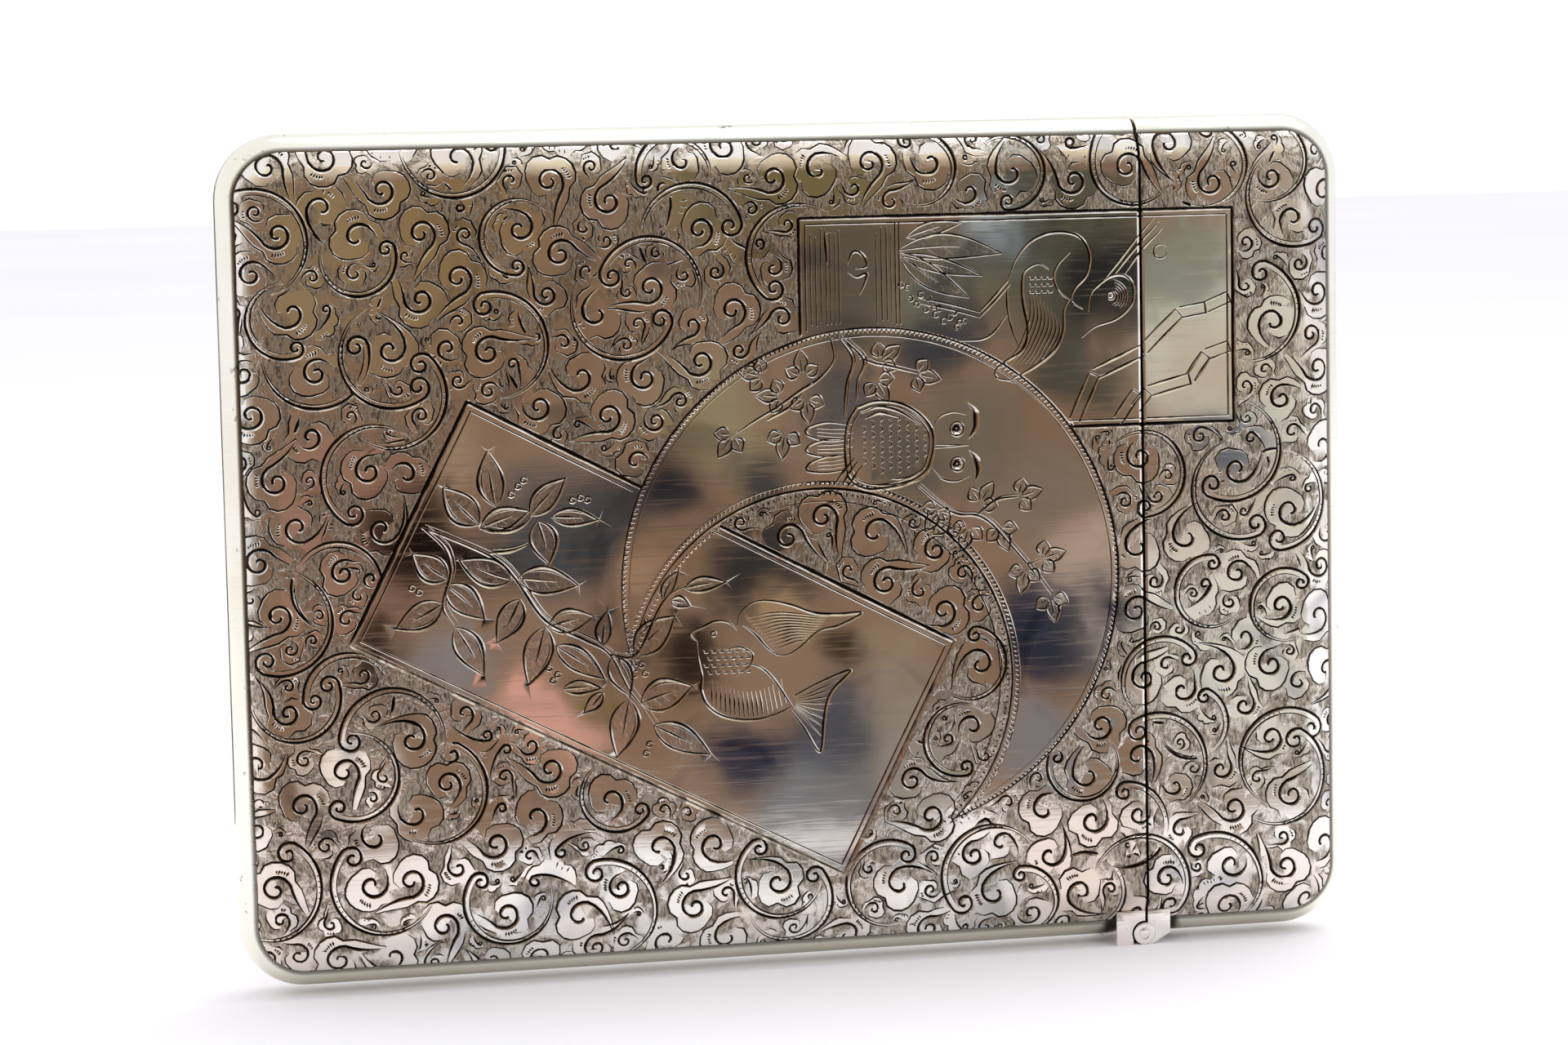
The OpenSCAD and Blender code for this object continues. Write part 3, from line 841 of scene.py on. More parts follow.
def cutDepths(work, points):
    # depth of the cuts at every point: a leaning V across the nearest centre line
    samples, halves, sides, leans = [], [], [], []
    for line, half in work["cuts"]:
        _, _, _, side, lean = cutFrame(line, half)
        steps = np.maximum((np.hypot(*np.diff(line, axis=0).T) / plates["sampling"]).astype(int), 1)
        u = np.concatenate([i + np.arange(n) / n for i, n in enumerate(steps)] + [[len(steps)]])
        whole = np.arange(len(line))
        samples.append(np.column_stack([np.interp(u, whole, line[:, k]) for k in (0, 1)]))
        sides.append(np.column_stack([np.interp(u, whole, side[:, k]) for k in (0, 1)]))
        halves.append(np.interp(u, whole, half))
        leans.append(np.interp(u, whole, lean))
    samples, sides = np.vstack(samples), np.vstack(sides)
    halves, leans = np.concatenate(halves), np.concatenate(leans)
    tree = kdtree.KDTree(len(samples))
    for i, (x, z) in enumerate(samples):
        tree.insert((x, z, 0.0), i)
    tree.balance()
    reach = float(halves.max())
    depth, share = np.zeros(len(points)), np.zeros(len(points))
    for i, (x, z) in enumerate(points):
        best = plates["least"]
        for place, index, away in tree.find_range((x, z, 0.0), reach):
            if halves[index] - away > best:
                best, found, spot = halves[index] - away, index, place
        if best > plates["least"]:
            half, lean = halves[found], leans[found]
            across = ((x - spot[0]) * sides[found][0] + (z - spot[1]) * sides[found][1]) / half
            fall = (1 + across) / (1 + lean) if across < lean else (1 - across) / (1 - lean)
            share[i] = max(fall, 0.0)
            depth[i] = share[i] * half
    return depth, share


def polygonsHold(points, polygons):
    # which points lie in any of the outlines
    held = np.zeros(len(points), bool)
    order = np.argsort(points[:, 0])
    xs = points[order, 0]
    for poly in polygons:
        low, high = poly.min(0), poly.max(0)
        span = order[np.searchsorted(xs, low[0]):np.searchsorted(xs, high[0])]
        span = span[(points[span, 1] > low[1]) & (points[span, 1] < high[1]) & ~held[span]]
        if not len(span):
            continue
        p = points[span]
        a, b = poly, np.roll(poly, -1, axis=0)
        crosses = (a[:, 1] > p[:, 1][:, None]) != (b[:, 1] > p[:, 1][:, None])
        with np.errstate(divide="ignore", invalid="ignore"):
            at = a[:, 0] + (p[:, 1][:, None] - a[:, 1]) * (b[:, 0] - a[:, 0]) / (b[:, 1] - a[:, 1])
        held[span] = (crosses & (p[:, 0][:, None] < at)).sum(1) % 2 == 1
    return held


def outerSheet(part, work):
    # points and triangles of the engraved sheet, seen flat
    net = Net()
    net.add(outlineOf(part), closed=True)
    net.add(outlineOf(part, plates["edgeWidth"]), closed=True)
    for inset in plates["shoulderInsets"]:
        net.add(outlineOf(part, inset, plates["shoulderStep"]), closed=True)
    xs = np.arange(case["left"], case["right"], plates["pitch"])
    zs = np.arange(case["foot"], case["top"], plates["pitch"])
    grid = np.array([(x + 0.7 * (j % 2), z) for x in xs for j, z in enumerate(zs)])
    flat = seamDepth(grid[:, 0], grid[:, 1]) > plates["flatFrom"]
    net.add(grid[insidePart(part, grid[:, 0], grid[:, 1]) & flat], chain=False)
    for line, half in work["cuts"]:
        if not insidePart(part, line[:, 0], line[:, 1]).any():
            continue
        left, right, deep, _, _ = cutFrame(line, half)
        first = net.add(deep)
        last = first + len(line) - 1
        for rail in (left, right):
            begin = net.add(rail[1:-1])
            if len(rail) > 2:
                net.edges += [(first, begin), (begin + len(rail) - 3, last)]
    points, faces, _ = net.triangles()
    middles = points[faces].mean(1)
    faces = faces[insidePart(part, middles[:, 0], middles[:, 1])]
    used = np.unique(faces)
    remap = -np.ones(len(points), int)
    remap[used] = np.arange(len(used))
    return points[used], remap[faces]


def rimLoop(faces):
    # the points round the edge of a sheet, in order
    pairs = {edge: True for a, b, c in faces for edge in ((a, b), (b, c), (c, a))}
    follow = {a: b for a, b in pairs if (b, a) not in pairs}
    loop = [next(iter(follow))]
    while follow[loop[-1]] != loop[0]:
        loop.append(follow[loop[-1]])
    return loop


def innerSheet(part, side, rim):
    # the inside of the plate: its points, its triangles, and where each rim point went
    seam = seamDepth(rim[:, 0], rim[:, 1])
    nudge = 0.01
    inward = np.column_stack([seamDepth(rim[:, 0] + nudge, rim[:, 1]) - seam,
                              seamDepth(rim[:, 0], rim[:, 1] + nudge) - seam]) / nudge
    shift = plates["lipShift"] * np.clip(1 - seam / case["shoulder"], 0, 1) ** 2
    innerRim = rim + inward * shift[:, None]
    net = Net()
    net.add(innerRim, closed=True)
    for inset in plates["innerInsets"]:
        net.add(outlineOf(part, inset, plates["innerStep"]), chain=False)
    points, faces, origins = net.triangles()
    faces = faces[polygonsHold(points[faces].mean(1), [innerRim])]
    height = np.maximum(faceHeight(seamDepth(points[:, 0], points[:, 1]), case["sheet"]), case["seam"])
    place = {source: index for index, sources in enumerate(origins) for source in sources}
    return np.column_stack([points[:, 0], side * height, points[:, 1]]), faces, place


def engravedPlate(name, part, side, work, groundOf, material):
    # side is -1 on the front and 1 on the back
    points, faces = outerSheet(part, work)
    x, z = points.T
    depth, share = cutDepths(work, points)
    ground = groundOf(points)
    distance = edgeDistance(part, x, z)
    edge = np.maximum(plates["edgeWidth"] - distance, 0)
    height = faceHeight(seamDepth(x, z)) + wornSurface(x, z) * np.clip(distance / plates["waveFade"], 0, 1)
    height -= np.maximum(depth * plates["slope"], edge * plates["edgeDrop"])
    outer = np.column_stack([x, side * height, z])
    loop = rimLoop(faces)
    inner, innerFaces, place = innerSheet(part, side, points[loop])

    total = len(outer)
    allFaces = [tuple(f) if side < 0 else tuple(f[::-1]) for f in faces]
    allFaces += [tuple(total + i for i in (f[::-1] if side < 0 else f)) for f in innerFaces]
    for i in range(len(loop)):
        j = (i + 1) % len(loop)
        quad = (loop[j], loop[i], total + place[i], total + place[j])
        if len(set(quad)) == 4:
            allFaces.append(quad if side < 0 else quad[::-1])
    mesh = bpy.data.meshes.new(name)
    mesh.from_pydata((np.vstack([outer, inner]) * mm).tolist(), [],
                     [tuple(int(i) for i in f) for f in allFaces])

    # tarnish and painted shade in the crease along the seam, and a smaller share of painted shade in the
    # gap along the split
    edgeTarnishAndShade = edge / plates["edgeWidth"] * np.where(seamDepth(x, z) < plates["edgeWidth"], 1.0,
                                                      plates["splitShadeShare"])
    # patina in the cuts, lessened along the bird card's lower edges to paint a highlight there
    patinaAndHighlight = share * np.clip(depth / plates["fullGrime"], 0.4, 1) * work["patinaAndHighlight"](points)
    # the inner face of the plate is coloured darker
    hidden = np.full(len(inner), plates["innerDarkening"])
    for label, values in (("cutDepth", np.maximum(patinaAndHighlight, edgeTarnishAndShade)), ("ground", ground)):
        layer = mesh.attributes.new(label, "FLOAT", "POINT")
        layer.data.foreach_set("value", np.concatenate([values, hidden]).astype(np.float32))
    mesh.validate()
    piece = linked(name, mesh, plates["sharpAngle"])
    mesh.materials.append(material)
    print(name, "has", sum(len(p.vertices) - 2 for p in mesh.polygons), "triangles")
    return piece


def linked(name, mesh, sharpAngle=None):
    # an object made from a mesh, smooth but for its sharp edges
    if sharpAngle:
        mesh.polygons.foreach_set("use_smooth", [True] * len(mesh.polygons))
        mesh.set_sharp_from_angle(angle=math.radians(sharpAngle))
    piece = bpy.data.objects.new(name, mesh)
    bpy.context.scene.collection.objects.link(piece)
    return piece


# Materials.
class Link:
    # wraps a shader socket so that maths on it adds Math nodes
    def __init__(self, tree, socket):
        self.tree, self.socket = tree, socket

    def maths(self, operation, *others, clamp=False):
        inputs = {i: value for i, value in enumerate((self,) + others)}
        return node(self.tree, "ShaderNodeMath", {"operation": operation, "use_clamp": clamp}, inputs)

    def __add__(self, other):
        return self.maths("ADD", other)

    __radd__ = __add__

    def __mul__(self, other):
        return self.maths("MULTIPLY", other)

    __rmul__ = __mul__

    def __sub__(self, other):
        return self.maths("SUBTRACT", other)

    def __rsub__(self, other):
        return node(self.tree, "ShaderNodeMath", {"operation": "SUBTRACT"}, {0: other, 1: self})

    def clamped(self):
        return self.maths("MULTIPLY", 1.0, clamp=True)


def node(tree, kind, settings=None, inputs=None, output=0):
    # adds one node: its settings first, then its sockets' values or links
    made = tree.nodes.new(kind)
    for key, value in (settings or {}).items():
        if key == "stops":
            ramp = made.color_ramp
            while len(ramp.elements) < len(value):
                ramp.elements.new(0.5)
            for element, (at, colour) in zip(ramp.elements, value):
                element.position, element.color = at, colour
        else:
            setattr(made, key, value)
    for key, value in (inputs or {}).items():
        if isinstance(value, Link):
            tree.links.new(value.socket, made.inputs[key])
        else:
            made.inputs[key].default_value = value
    return Link(tree, made.outputs[output])


def startMaterial(name):
    material = bpy.data.materials.new(name)
    material.use_nodes = True
    tree = material.node_tree
    shader = tree.nodes["Principled BSDF"]
    place = node(tree, "ShaderNodeTexCoord", output=3)
    return material, tree, shader, place


def blend(tree, factor, a, b):
    return node(tree, "ShaderNodeMix", {"data_type": "RGBA"}, {0: factor, 6: a, 7: b}, output=2)


def noise(tree, place, scale, detail=2.0, roughness=0.5, distortion=0.0):
    return node(tree, "ShaderNodeTexNoise", {}, {"Vector": place, "Scale": scale, "Detail": detail,
                                                 "Roughness": roughness, "Distortion": distortion})


def stretched(tree, place, scale, turn=0.0):
    return node(tree, "ShaderNodeMapping", {}, {"Vector": place, "Rotation": (0, turn, 0), "Scale": scale})


def coordinate(tree, place, axis):
    return node(tree, "ShaderNodeSeparateXYZ", {}, {"Vector": place}, output="XYZ".index(axis))


def awayFrom(tree, place, centre):
    # distance from a point, in metres
    return node(tree, "ShaderNodeVectorMath", {"operation": "DISTANCE"}, {0: place, 1: centre}, output=1)


def awayFromLine(tree, place, x, z):
    # distance from a line that runs through the case at (x, z), given in millimetres
    flat = node(tree, "ShaderNodeVectorMath", {"operation": "MULTIPLY"}, {0: place, 1: (1, 0, 1)})
    return awayFrom(tree, flat, (x * mm, 0, z * mm))


def spread(tree, value, low, high):
    return node(tree, "ShaderNodeMapRange", {"clamp": True}, {0: value, 1: low, 2: high})


# dirt is the colour of the patina in the cuts and of dirt specks; it also paints shade along the seams, in
# the collar's gap and beside the hinge
silver = {"bright": (0.88, 0.84, 0.79, 1), "warm": (0.66, 0.50, 0.38, 1), "blue": (0.16, 0.18, 0.24, 1),
          "dirt": (0.025, 0.017, 0.012, 1), "matted": (0.47, 0.41, 0.33, 1),
          "hollow": (0.12, 0.09, 0.07, 1)}


def scratches(tree, place, amount):
    # fine handling scratches in three directions
    total = None
    for turn, scale in ((0.3, 2600), (1.25, 3400), (2.2, 3000)):
        lines = noise(tree, stretched(tree, place, (scale * 0.05, scale * 0.05, scale), turn), 1.0, 1.0)
        fine = spread(tree, lines, 0.62, 0.72)
        total = fine if total is None else total + fine
    return total * amount


def engravedSilver():
    material, tree, shader, place = startMaterial("engravedSilver")
    cutDepth = node(tree, "ShaderNodeAttribute", {"attribute_name": "cutDepth"}, output=2)
    ground = node(tree, "ShaderNodeAttribute", {"attribute_name": "ground"}, output=2)
    # the matting is worn back to the polish in patches
    ground = ground * (spread(tree, noise(tree, place, 560, 2.0, 0.6, 0.8), 0.41, 0.54) * 0.78 + 0.22)
    toning = spread(tree, noise(tree, place, 55, 3.0, 0.55, 0.6), 0.42, 0.68)
    blueing = spread(tree, noise(tree, place, 95, 2.0, 0.5, 1.2), 0.56, 0.70)
    metal = blend(tree, toning * 0.55, silver["bright"], silver["warm"])
    metal = blend(tree, blueing * 0.5, metal, silver["blue"])
    grain = noise(tree, stretched(tree, place, (5200, 5200, 2400), 0.5), 1.0, 3.0, 0.65)
    pits = spread(tree, noise(tree, stretched(tree, place, (4200, 4200, 1300), -0.6), 1.0, 3.0, 0.6, 0.8),
                  0.43, 0.62)
    matting = blend(tree, pits, silver["matted"], silver["hollow"])
    metal = blend(tree, ground * 0.94, metal, matting)
    soot = spread(tree, noise(tree, place, 700, 2.0), 0.35, 0.75)
    # patina in the cuts, and painted shade along the plate's seam and split
    dark = spread(tree, cutDepth + soot * 0.25, 0.30, 0.62)
    metal = blend(tree, dark, metal, silver["dirt"])
    tree.links.new(metal.socket, shader.inputs["Base Color"])
    rough = 0.10 + ground * 0.28 + cutDepth * 0.2 + scratches(tree, place, 0.04)
    tree.links.new(rough.clamped().socket, shader.inputs["Roughness"])
    shader.inputs["Metallic"].default_value = 1.0
    hatch = ground * grain * 3.0 - ground * pits * 1.2 + scratches(tree, place, -0.016)
    hatch = hatch + noise(tree, place, 330, 1.0) * 0.5
    bump = node(tree, "ShaderNodeBump", {}, {"Strength": 0.6, "Distance": 0.00005, "Height": hatch})
    tree.links.new(bump.socket, shader.inputs["Normal"])
    return material


def plainSilver(name, look):
    material, tree, shader, place = startMaterial(name)
    toning = spread(tree, noise(tree, place, 70, 3.0), 0.45, 0.75)
    metal = blend(tree, toning * 0.5, look["bright"], look["warm"])
    specks = spread(tree, noise(tree, place, 520, 3.0, 0.7), 0.66, 0.74)
    metal = blend(tree, specks * look["dirt"], metal, silver["dirt"])
    if "gapShadeWidth" in look:
        # painted shade in the gap between the body and the lid, where the collar shows through it
        gap = (case["bodyEnd"] + case["lidStart"]) / 2
        gapShade = coordinate(tree, place, "X").maths("COMPARE", gap * mm, look["gapShadeWidth"] * mm)
        metal = blend(tree, gapShade * 0.95, metal, silver["dirt"])
    if "foot" in look:
        # a dark line along the seam with the plates, partly tarnish and partly painted shade in the crease;
        # and painted shade near the floor, where the rim rests on its edge
        through = coordinate(tree, place, "Y").maths("ABSOLUTE")
        nearSeam = spread(tree, through, (case["seam"] - 0.22) * mm, (case["seam"] - 0.05) * mm)
        metal = blend(tree, nearSeam * 0.8, metal, silver["dirt"])
        low = coordinate(tree, place, "Z")
        metal = blend(tree, spread(tree, low, 2.6 * mm, 0.6 * mm) * 0.6, metal, look["foot"])
    if "ring" in look:
        # grime in the joint between the body's bearer and the knuckles
        x, z, radius, reach = look["ring"]
        inRing = awayFromLine(tree, place, x, z).maths("COMPARE", radius * mm, reach * mm)
        onBody = coordinate(tree, place, "X").maths("LESS_THAN", (x + 0.2) * mm)
        metal = blend(tree, inRing * onBody * 0.95, metal, silver["dirt"])
    # painted shade on the rim either side of the hinge block, where the rim is notched
    for x, z, radius in look.get("shadeBesideHinge", ()):
        shadeSpot = spread(tree, awayFromLine(tree, place, x, z), radius * mm, radius * 0.5 * mm)
        metal = blend(tree, shadeSpot * 0.92, metal, silver["dirt"])
    tree.links.new(metal.socket, shader.inputs["Base Color"])
    rough = look["roughness"] + scratches(tree, place, 0.07) + specks * 0.2
    tree.links.new(rough.clamped().socket, shader.inputs["Roughness"])
    shader.inputs["Metallic"].default_value = 1.0
    height = scratches(tree, place, -0.2) + noise(tree, place, 120, 1.0) * 0.4
    bump = node(tree, "ShaderNodeBump", {}, {"Strength": 0.25, "Distance": 0.00005, "Height": height})
    tree.links.new(bump.socket, shader.inputs["Normal"])
    return material


hingeAxis = ((pinLow[0] + pinHigh[0]) / 2 / mm, (pinLow[2] + pinHigh[2]) / 2 / mm)
# the rim's foot colour is painted shade near the floor
rimLook = {"bright": (0.91, 0.89, 0.80, 1), "warm": (0.78, 0.71, 0.54, 1), "foot": (0.42, 0.38, 0.27, 1),
           "roughness": 0.14, "dirt": 0.8,
           # painted shade spots beside the hinge notches
           "shadeBesideHinge": [(case[side] + shift, z, radius)
                      for side, shift in (("notchLeft", -0.1), ("notchRight", 0.1))
                      for z, radius in ((0.9, 1.5), (2.0, 1.1))]}
collarLook = {"bright": (0.90, 0.80, 0.60, 1), "warm": (0.80, 0.62, 0.38, 1), "roughness": 0.24,
              "dirt": 0.4, "gapShadeWidth": 0.22}
hingeLook = {"bright": (0.93, 0.88, 0.84, 1), "warm": (0.66, 0.56, 0.48, 1), "roughness": 0.2, "dirt": 0.9,
             "ring": (*hingeAxis, 1.08, 0.085)}


def floorMaterial():
    material, tree, shader, place = startMaterial("paleSheet")
    tone = blend(tree, spread(tree, noise(tree, place, 3.0), 0.3, 0.7), (0.92, 0.90, 0.92, 1),
                 (0.95, 0.93, 0.95, 1))
    tree.links.new(tone.socket, shader.inputs["Base Color"])
    shader.inputs["Roughness"].default_value = 0.55
    shader.inputs["Specular IOR Level"].default_value = 0.0
    return material


# Softened copies of the plain parts.
def softened(cadNode, offset, material):
    # the CAD shape with its sharp edges rounded over
    name = cadNode + "_softened"
    bm = bmesh.new()
    bm.from_mesh(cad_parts[cadNode].data)
    bmesh.ops.remove_doubles(bm, verts=bm.verts, dist=1e-7)
    bmesh.ops.dissolve_limit(bm, angle_limit=math.radians(1.0), verts=bm.verts, edges=bm.edges)
    sharp = [e for e in bm.edges if len(e.link_faces) == 2 and e.calc_face_angle(0) > math.radians(28)]
    bmesh.ops.bevel(bm, geom=sharp, offset=offset * mm, offset_type="OFFSET", segments=2, profile=0.5,
                    affect="EDGES", clamp_overlap=True, material=-1)
    bmesh.ops.triangulate(bm, faces=[f for f in bm.faces if len(f.verts) > 4])
    mesh = bpy.data.meshes.new(name)
    bm.to_mesh(mesh)
    bm.free()
    piece = linked(name, mesh, 32)
    mesh.materials.clear()
    mesh.materials.append(material)
    return piece


def dress(piece, body, slot, *nodes):
    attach(piece, body)
    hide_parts(*nodes)


# Making the case.
def newWork():
    return {"cuts": [], "leaves": [], "frosted": [], "bold": 1.0, "patinaAndHighlight": lambda points: 1.0}


def frontGround(work):
    def groundOf(points):
        inside = inVignette(points[:, 0], points[:, 1]) > 0
        value = np.where(polygonsHold(points, work["leaves"]), 0.0, 1.0)
        value[inside] = 0.0
        value[polygonsHold(points, work["frosted"]) & inside] = 0.2
        return value
    return groundOf


def vignetteGrimeAndHighlight(points):
    # the pictures are wiped cleaner than the scroll; along the bird card's lower edges the cuts are
    # darkened least of all, a painted highlight
    x, z = points.T
    share = np.where(inVignette(x, z) > 0.2, 0.7, 1.0)
    corners = birdCard["corners"]
    for (ax, az), (bx, bz) in zip(corners[1:3], corners[2:4]):
        away = ((bx - ax) * (z - az) - (bz - az) * (x - ax)) / math.hypot(bx - ax, bz - az)
        share = np.where((np.abs(away) < 0.4) & (inBirdCard(x, z) > -0.4), 0.45, share)
    return share


def backGround(work):
    def groundOf(points):
        value = np.where(polygonsHold(points, work["leaves"]), 0.0, 1.0)
        value[inShield(points[:, 0], points[:, 1]) > 0] = 0.0
        return value
    return groundOf


def makePlates(metal):
    front = newWork()
    front["patinaAndHighlight"] = vignetteGrimeAndHighlight
    front["bold"] = 1.35  # the pictures are cut wider than the scroll
    engravePanel(front)
    engraveCrescent(front)
    engraveBirdCard(front)
    front["bold"] = 1.0
    back = newWork()
    engraveShield(back)
    for work, seed, picture in ((front, 11, inVignette), (back, 23, inShield)):
        fillWithScroll(work, seed, lambda x, z: ((picture(x, z) > -scroll["clearance"])
                                                 | (seamDepth(x, z) < -scroll["overrun"])))
    grounds = ((-1, "front", front, frontGround(front)), (1, "back", back, backGround(back)))
    for part in ("body", "lid"):
        for side, label, work, groundOf in grounds:
            piece = engravedPlate(part + "_engraved_" + label, part, side, work, groundOf, metal)
            dress(piece, part, "engraved_silver", part + "_" + label + "_plate")
    print("plates engraved")


# the width that each part's sharp edges are rounded over by, in millimetres
softEdges = {"body_rim": 0.12, "lid_rim": 0.12, "body_collar": 0.08, "body_hinge_bearer": 0.12,
             "body_knuckle": 0.07, "lid_hinge_bearer": 0.12, "lid_front_knuckle": 0.05,
             "lid_rear_knuckle": 0.05, "hinge_pin": 0.012}


def makePlainParts(polished, gilt, worn):
    for cadNode, offset in softEdges.items():
        slot, material = "hinge_silver", worn
        if cadNode.endswith("_rim"):
            slot, material = "polished_silver", polished
        if cadNode == "body_collar":
            slot, material = "collar_silver", gilt
        dress(softened(cadNode, offset, material), "body" if cadNode.startswith("body") else "lid", slot,
              cadNode)
    print("rims, collar and hinge softened")


# The studio.
view = {"place": (-72.6, -340.7, 74.2), "turn": (0.0976, -0.2078, -0.0312), "focal": 91.05}


def makeCamera():
    data = bpy.data.cameras.new("camera")
    data.sensor_width = 36
    data.lens = view["focal"]
    data.clip_start, data.clip_end = 0.01, 50
    camera = bpy.data.objects.new("camera", data)
    bpy.context.scene.collection.objects.link(camera)
    # looks along +Y with +Z up, then turned a little about its own axes
    turn = Vector(view["turn"])
    small = Matrix.Rotation(turn.length, 3, turn.normalized())
    base = Matrix(((1, 0, 0), (0, 0, -1), (0, 1, 0)))
    toCamera = small @ base
    flip = Matrix(((1, 0, 0), (0, -1, 0), (0, 0, -1)))
    turned = (flip @ toCamera).transposed().to_4x4()
    camera.matrix_world = Matrix.Translation(Vector(view["place"]) * mm) @ turned
    bpy.context.scene.camera = camera
    bpy.context.scene.view_settings.view_transform = "Standard"  # keeps the pale surroundings clean white


# flags are cards that only reflections see; lengths are in millimetres, but the lamp's are in metres
studio = {"sky": 1.05, "flagAt": -60.0, "flagLeft": -150.0, "flagRight": 86.0, "flagFoot": 2.0,
          "flagTop": 124.0, "flagGlow": 0.75, "flagTint": (0.36, 0.24, 0.165, 1),
          "shake": (0.010, 0.0, 0.010), "fadeLeft": -92.0, "fadeRight": 62.0, "fadeTop": 86.0,
          "mirrorScale": 1.176, "mirrorX": 17.8, "mirrorZ": -8.1,
          "rearAt": 75.0, "rearHalf": 86.0, "rearTop": 78.0,
          "patch": (14.0, -52.0), "patchOuter": 12.5, "patchInner": 7.0,
          "lampPower": 2.0, "lampSize": 0.5, "lampPlace": (0.25, 0.1, 0.7)}

# what the polished front mirrors, each as (x, z, radius, colour) where it shows on the face, in millimetres
blots = [(-36, 67, 13, (0.38, 0.27, 0.14, 1)), (-2, 74, 13.6, (0.25, 0.21, 0.10, 1)),
         (21, 64, 10, (0.12, 0.12, 0.085, 1)), (-41.5, 40, 11, (0.46, 0.27, 0.20, 1)),
         (41, 53.7, 12, (0.84, 0.82, 0.70, 1)), (40, 28, 13.6, (1.0, 0.97, 0.89, 1)),
         (7.8, 18, 8.5, (0.42, 0.38, 0.33, 1)), (-33, 8, 6, (0.62, 0.55, 0.50, 1)),
         (-8, 9, 6, (0.55, 0.50, 0.46, 1)), (0, 14, 6, (0.24, 0.25, 0.27, 1)),
         (-21.5, 39.5, 6.5, (0.085, 0.09, 0.10, 1)), (-31, 47.5, 4, (0.50, 0.36, 0.26, 1)),
         (-34.5, 40, 5.5, (0.0, 0.0, 0.0, 1)), (-29, 38, 3.6, (0.0, 0.0, 0.0, 1)),
         (-37.5, 30.5, 3.4, (0.005, 0.005, 0.006, 1)), (-31, 28.5, 3.4, (0.34, 0.32, 0.33, 1)),
         (-25, 24.5, 3.4, (1.0, 0.55, 0.45, 1)), (-21.5, 22.3, 2.8, (1.0, 0.57, 0.47, 1)),
         (-18.6, 24.4, 2.4, (0.28, 0.21, 0.10, 1)), (-11.5, 28, 3.2, (0.0, 0.0, 0.0, 1)),
         (-4.5, 36.3, 5.6, (0.03, 0.035, 0.045, 1)), (-2.5, 32.6, 2.7, (0.55, 0.38, 0.22, 1)),
         (2.5, 29.2, 2.6, (0.0, 0.0, 0.0, 1)), (7, 29, 3.4, (0.40, 0.31, 0.22, 1)),
         (1, 21.5, 4.6, (0.09, 0.10, 0.13, 1)), (-5.8, 20, 3.4, (0.015, 0.022, 0.06, 1)),
         (-9, 49.5, 5, (0.40, 0.33, 0.20, 1)), (-13.5, 42, 3.3, (0.02, 0.03, 0.05, 1)),
         (-15, 35.5, 2.4, (0.52, 0.34, 0.23, 1)), (-4.5, 45.3, 3.2, (0.05, 0.06, 0.07, 1)),
         (3, 50.5, 4.4, (0.13, 0.12, 0.12, 1)), (8, 46, 3.6, (0.15, 0.14, 0.12, 1)),
         (15, 46.5, 4.6, (0.24, 0.21, 0.16, 1)), (20.5, 42, 4.2, (0.30, 0.25, 0.20, 1)),
         (21.5, 29.5, 6.2, (0.02, 0.03, 0.065, 1)), (24.8, 36.5, 3.2, (0.62, 0.48, 0.40, 1)),
         (20, 18.5, 4, (0.30, 0.30, 0.33, 1)), (4, 60, 5.6, (0.15, 0.135, 0.105, 1)),
         (11.5, 60, 4.4, (0.22, 0.21, 0.16, 1)), (12.5, 54.5, 3.4, (0.05, 0.06, 0.08, 1)),
         (16.5, 65, 3.4, (0.50, 0.60, 0.66, 1)), (26.8, 60, 5, (0.015, 0.017, 0.02, 1)),
         (23, 52.5, 4.4, (0.10, 0.10, 0.08, 1)), (34.5, 61, 4.4, (0.34, 0.36, 0.29, 1)),
         (37.6, 46, 3.6, (0.10, 0.13, 0.20, 1)), (-40.6, 18.8, 4, (1.5, 1.45, 1.4, 1)),
         (-44, 13.7, 2.6, (0.01, 0.01, 0.01, 1))]


def gridCard(name, material, size, turns, centre):
    # a flat card of width and height size, turned by quarter turns about X, then moved to its centre
    bm = bmesh.new()
    bmesh.ops.create_grid(bm, x_segments=1, y_segments=1, size=0.5)
    bmesh.ops.scale(bm, vec=(size[0] * mm, size[1] * mm, 1), verts=bm.verts)
    quarter = Matrix.Rotation(math.radians(90 * turns), 3, "X")
    bmesh.ops.rotate(bm, cent=(0, 0, 0), matrix=quarter, verts=bm.verts)
    bmesh.ops.translate(bm, vec=[c * mm for c in centre], verts=bm.verts)
    mesh = bpy.data.meshes.new(name)
    bm.to_mesh(mesh)
    bm.free()
    card = linked(name, mesh)
    mesh.materials.append(material)
    return card


def makeFlag(name, paint, low, high, turns, centre):
    # a glowing card that only mirror reflections see; paint gives its colour
    material = bpy.data.materials.new(name)
    material.use_nodes = True
    tree = material.node_tree
    tree.nodes.clear()
    colour = paint(tree, node(tree, "ShaderNodeTexCoord", output=3))
    glow = node(tree, "ShaderNodeEmission", {}, {"Color": colour, "Strength": studio["flagGlow"]})
    out = tree.nodes.new("ShaderNodeOutputMaterial")
    tree.links.new(glow.socket, out.inputs["Surface"])
    card = gridCard(name, material, (high[0] - low[0], high[1] - low[1]), turns, centre)
    card.visible_camera = card.visible_diffuse = card.visible_shadow = False


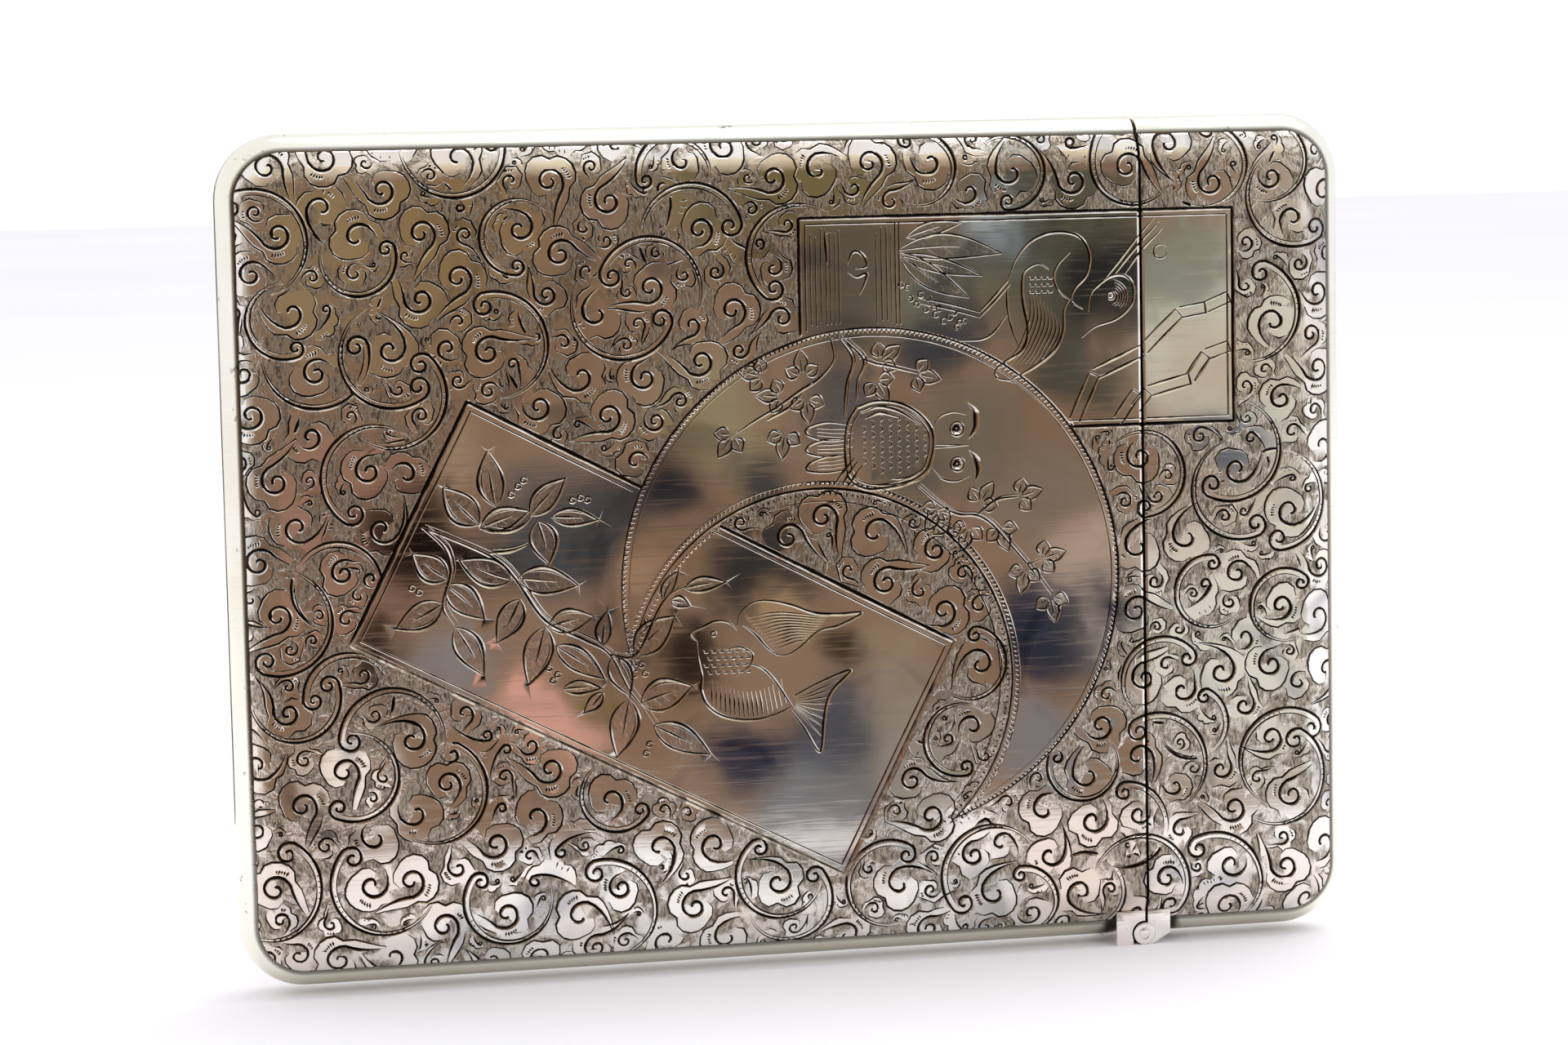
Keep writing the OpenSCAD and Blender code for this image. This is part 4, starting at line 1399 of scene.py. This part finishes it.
def paintRoom(tree, place):
    # the dark room in front of the case, with its blots, fading to bright at three sides
    rough = node(tree, "ShaderNodeTexNoise", {}, {"Vector": place, "Scale": 75, "Detail": 2.5}, output=1)
    shaken = node(tree, "ShaderNodeVectorMath", {"operation": "MULTIPLY_ADD"},
                  {0: rough, 1: studio["shake"], 2: place})
    tint = studio["flagTint"]
    grow = studio["mirrorScale"]
    for x, z, radius, colour in blots:
        centre = [v * mm for v in (x * grow + studio["mirrorX"], studio["flagAt"],
                                   z * grow + studio["mirrorZ"])]
        reach = radius * grow * mm
        inside = spread(tree, awayFrom(tree, shaken, centre), reach * 1.1, reach * 0.7)
        tint = blend(tree, inside, tint, colour)
    for axis, start, stop, colour in (("X", "fadeRight", "flagRight", (1.15, 1.12, 1.02, 1)),
                                      ("X", "fadeLeft", "flagLeft", (1.0, 0.95, 0.85, 1)),
                                      ("Z", "fadeTop", "flagTop", (1.3, 1.2, 0.95, 1))):
        faded = spread(tree, coordinate(tree, shaken, axis), studio[start] * mm, studio[stop] * mm)
        tint = blend(tree, faded, tint, colour)
    return tint


def paintRear(tree, place):
    cloud = spread(tree, noise(tree, place, 32, 2.0, 0.5, 0.8), 0.4, 0.62)
    return blend(tree, cloud, (0.16, 0.13, 0.10, 1), (0.66, 0.60, 0.53, 1))


def paintPatch(tree, place):
    # a grey patch low in front, which the lowest corner of the bird card mirrors
    x, y = studio["patch"]
    away = awayFrom(tree, place, (x * mm, y * mm, 0.0))
    inside = spread(tree, away, studio["patchOuter"] * mm, studio["patchInner"] * mm)
    return blend(tree, inside, (1.2, 1.18, 1.2, 1), (0.30, 0.31, 0.34, 1))


def makeStudio():
    gridCard("floorSheet", floorMaterial(), (6000, 6000), 0, (0, 0, 0))

    world = bpy.data.worlds.new("softStudio")
    bpy.context.scene.world = world
    world.use_nodes = True
    world.node_tree.nodes["Background"].inputs["Color"].default_value = (0.97, 0.98, 1.0, 1)
    world.node_tree.nodes["Background"].inputs["Strength"].default_value = studio["sky"]

    low, high = (studio["flagLeft"], studio["flagFoot"]), (studio["flagRight"], studio["flagTop"])
    makeFlag("darkFlag", paintRoom, low, high, -1, ((low[0] + high[0]) / 2, studio["flagAt"],
                                                    (low[1] + high[1]) / 2))
    low, high = (-studio["rearHalf"], studio["flagFoot"]), (studio["rearHalf"], studio["rearTop"])
    makeFlag("rearFlag", paintRear, low, high, 1, (0, studio["rearAt"], (low[1] + high[1]) / 2))
    makeFlag("footFlag", paintPatch, (-13, -12), (13, 12), 0, (studio["patch"][0], -47.5, 0.4))

    lamp = bpy.data.lights.new("softbox", "AREA")
    lamp.energy, lamp.size, lamp.shape = studio["lampPower"], studio["lampSize"], "SQUARE"
    box = bpy.data.objects.new("softbox", lamp)
    bpy.context.scene.collection.objects.link(box)
    box.location = studio["lampPlace"]
    box.rotation_euler = (Vector((0, 0, 0.03)) - box.location).to_track_quat("-Z", "Y").to_euler()
    print("studio set")


makeCamera()
makeStudio()
engraved = engravedSilver()
polished = plainSilver("polishedSilver", rimLook)
gilt = plainSilver("giltCollar", collarLook)
worn = plainSilver("hingeSilver", hingeLook)
print("materials made")
makePlates(engraved)
makePlainParts(polished, gilt, worn)
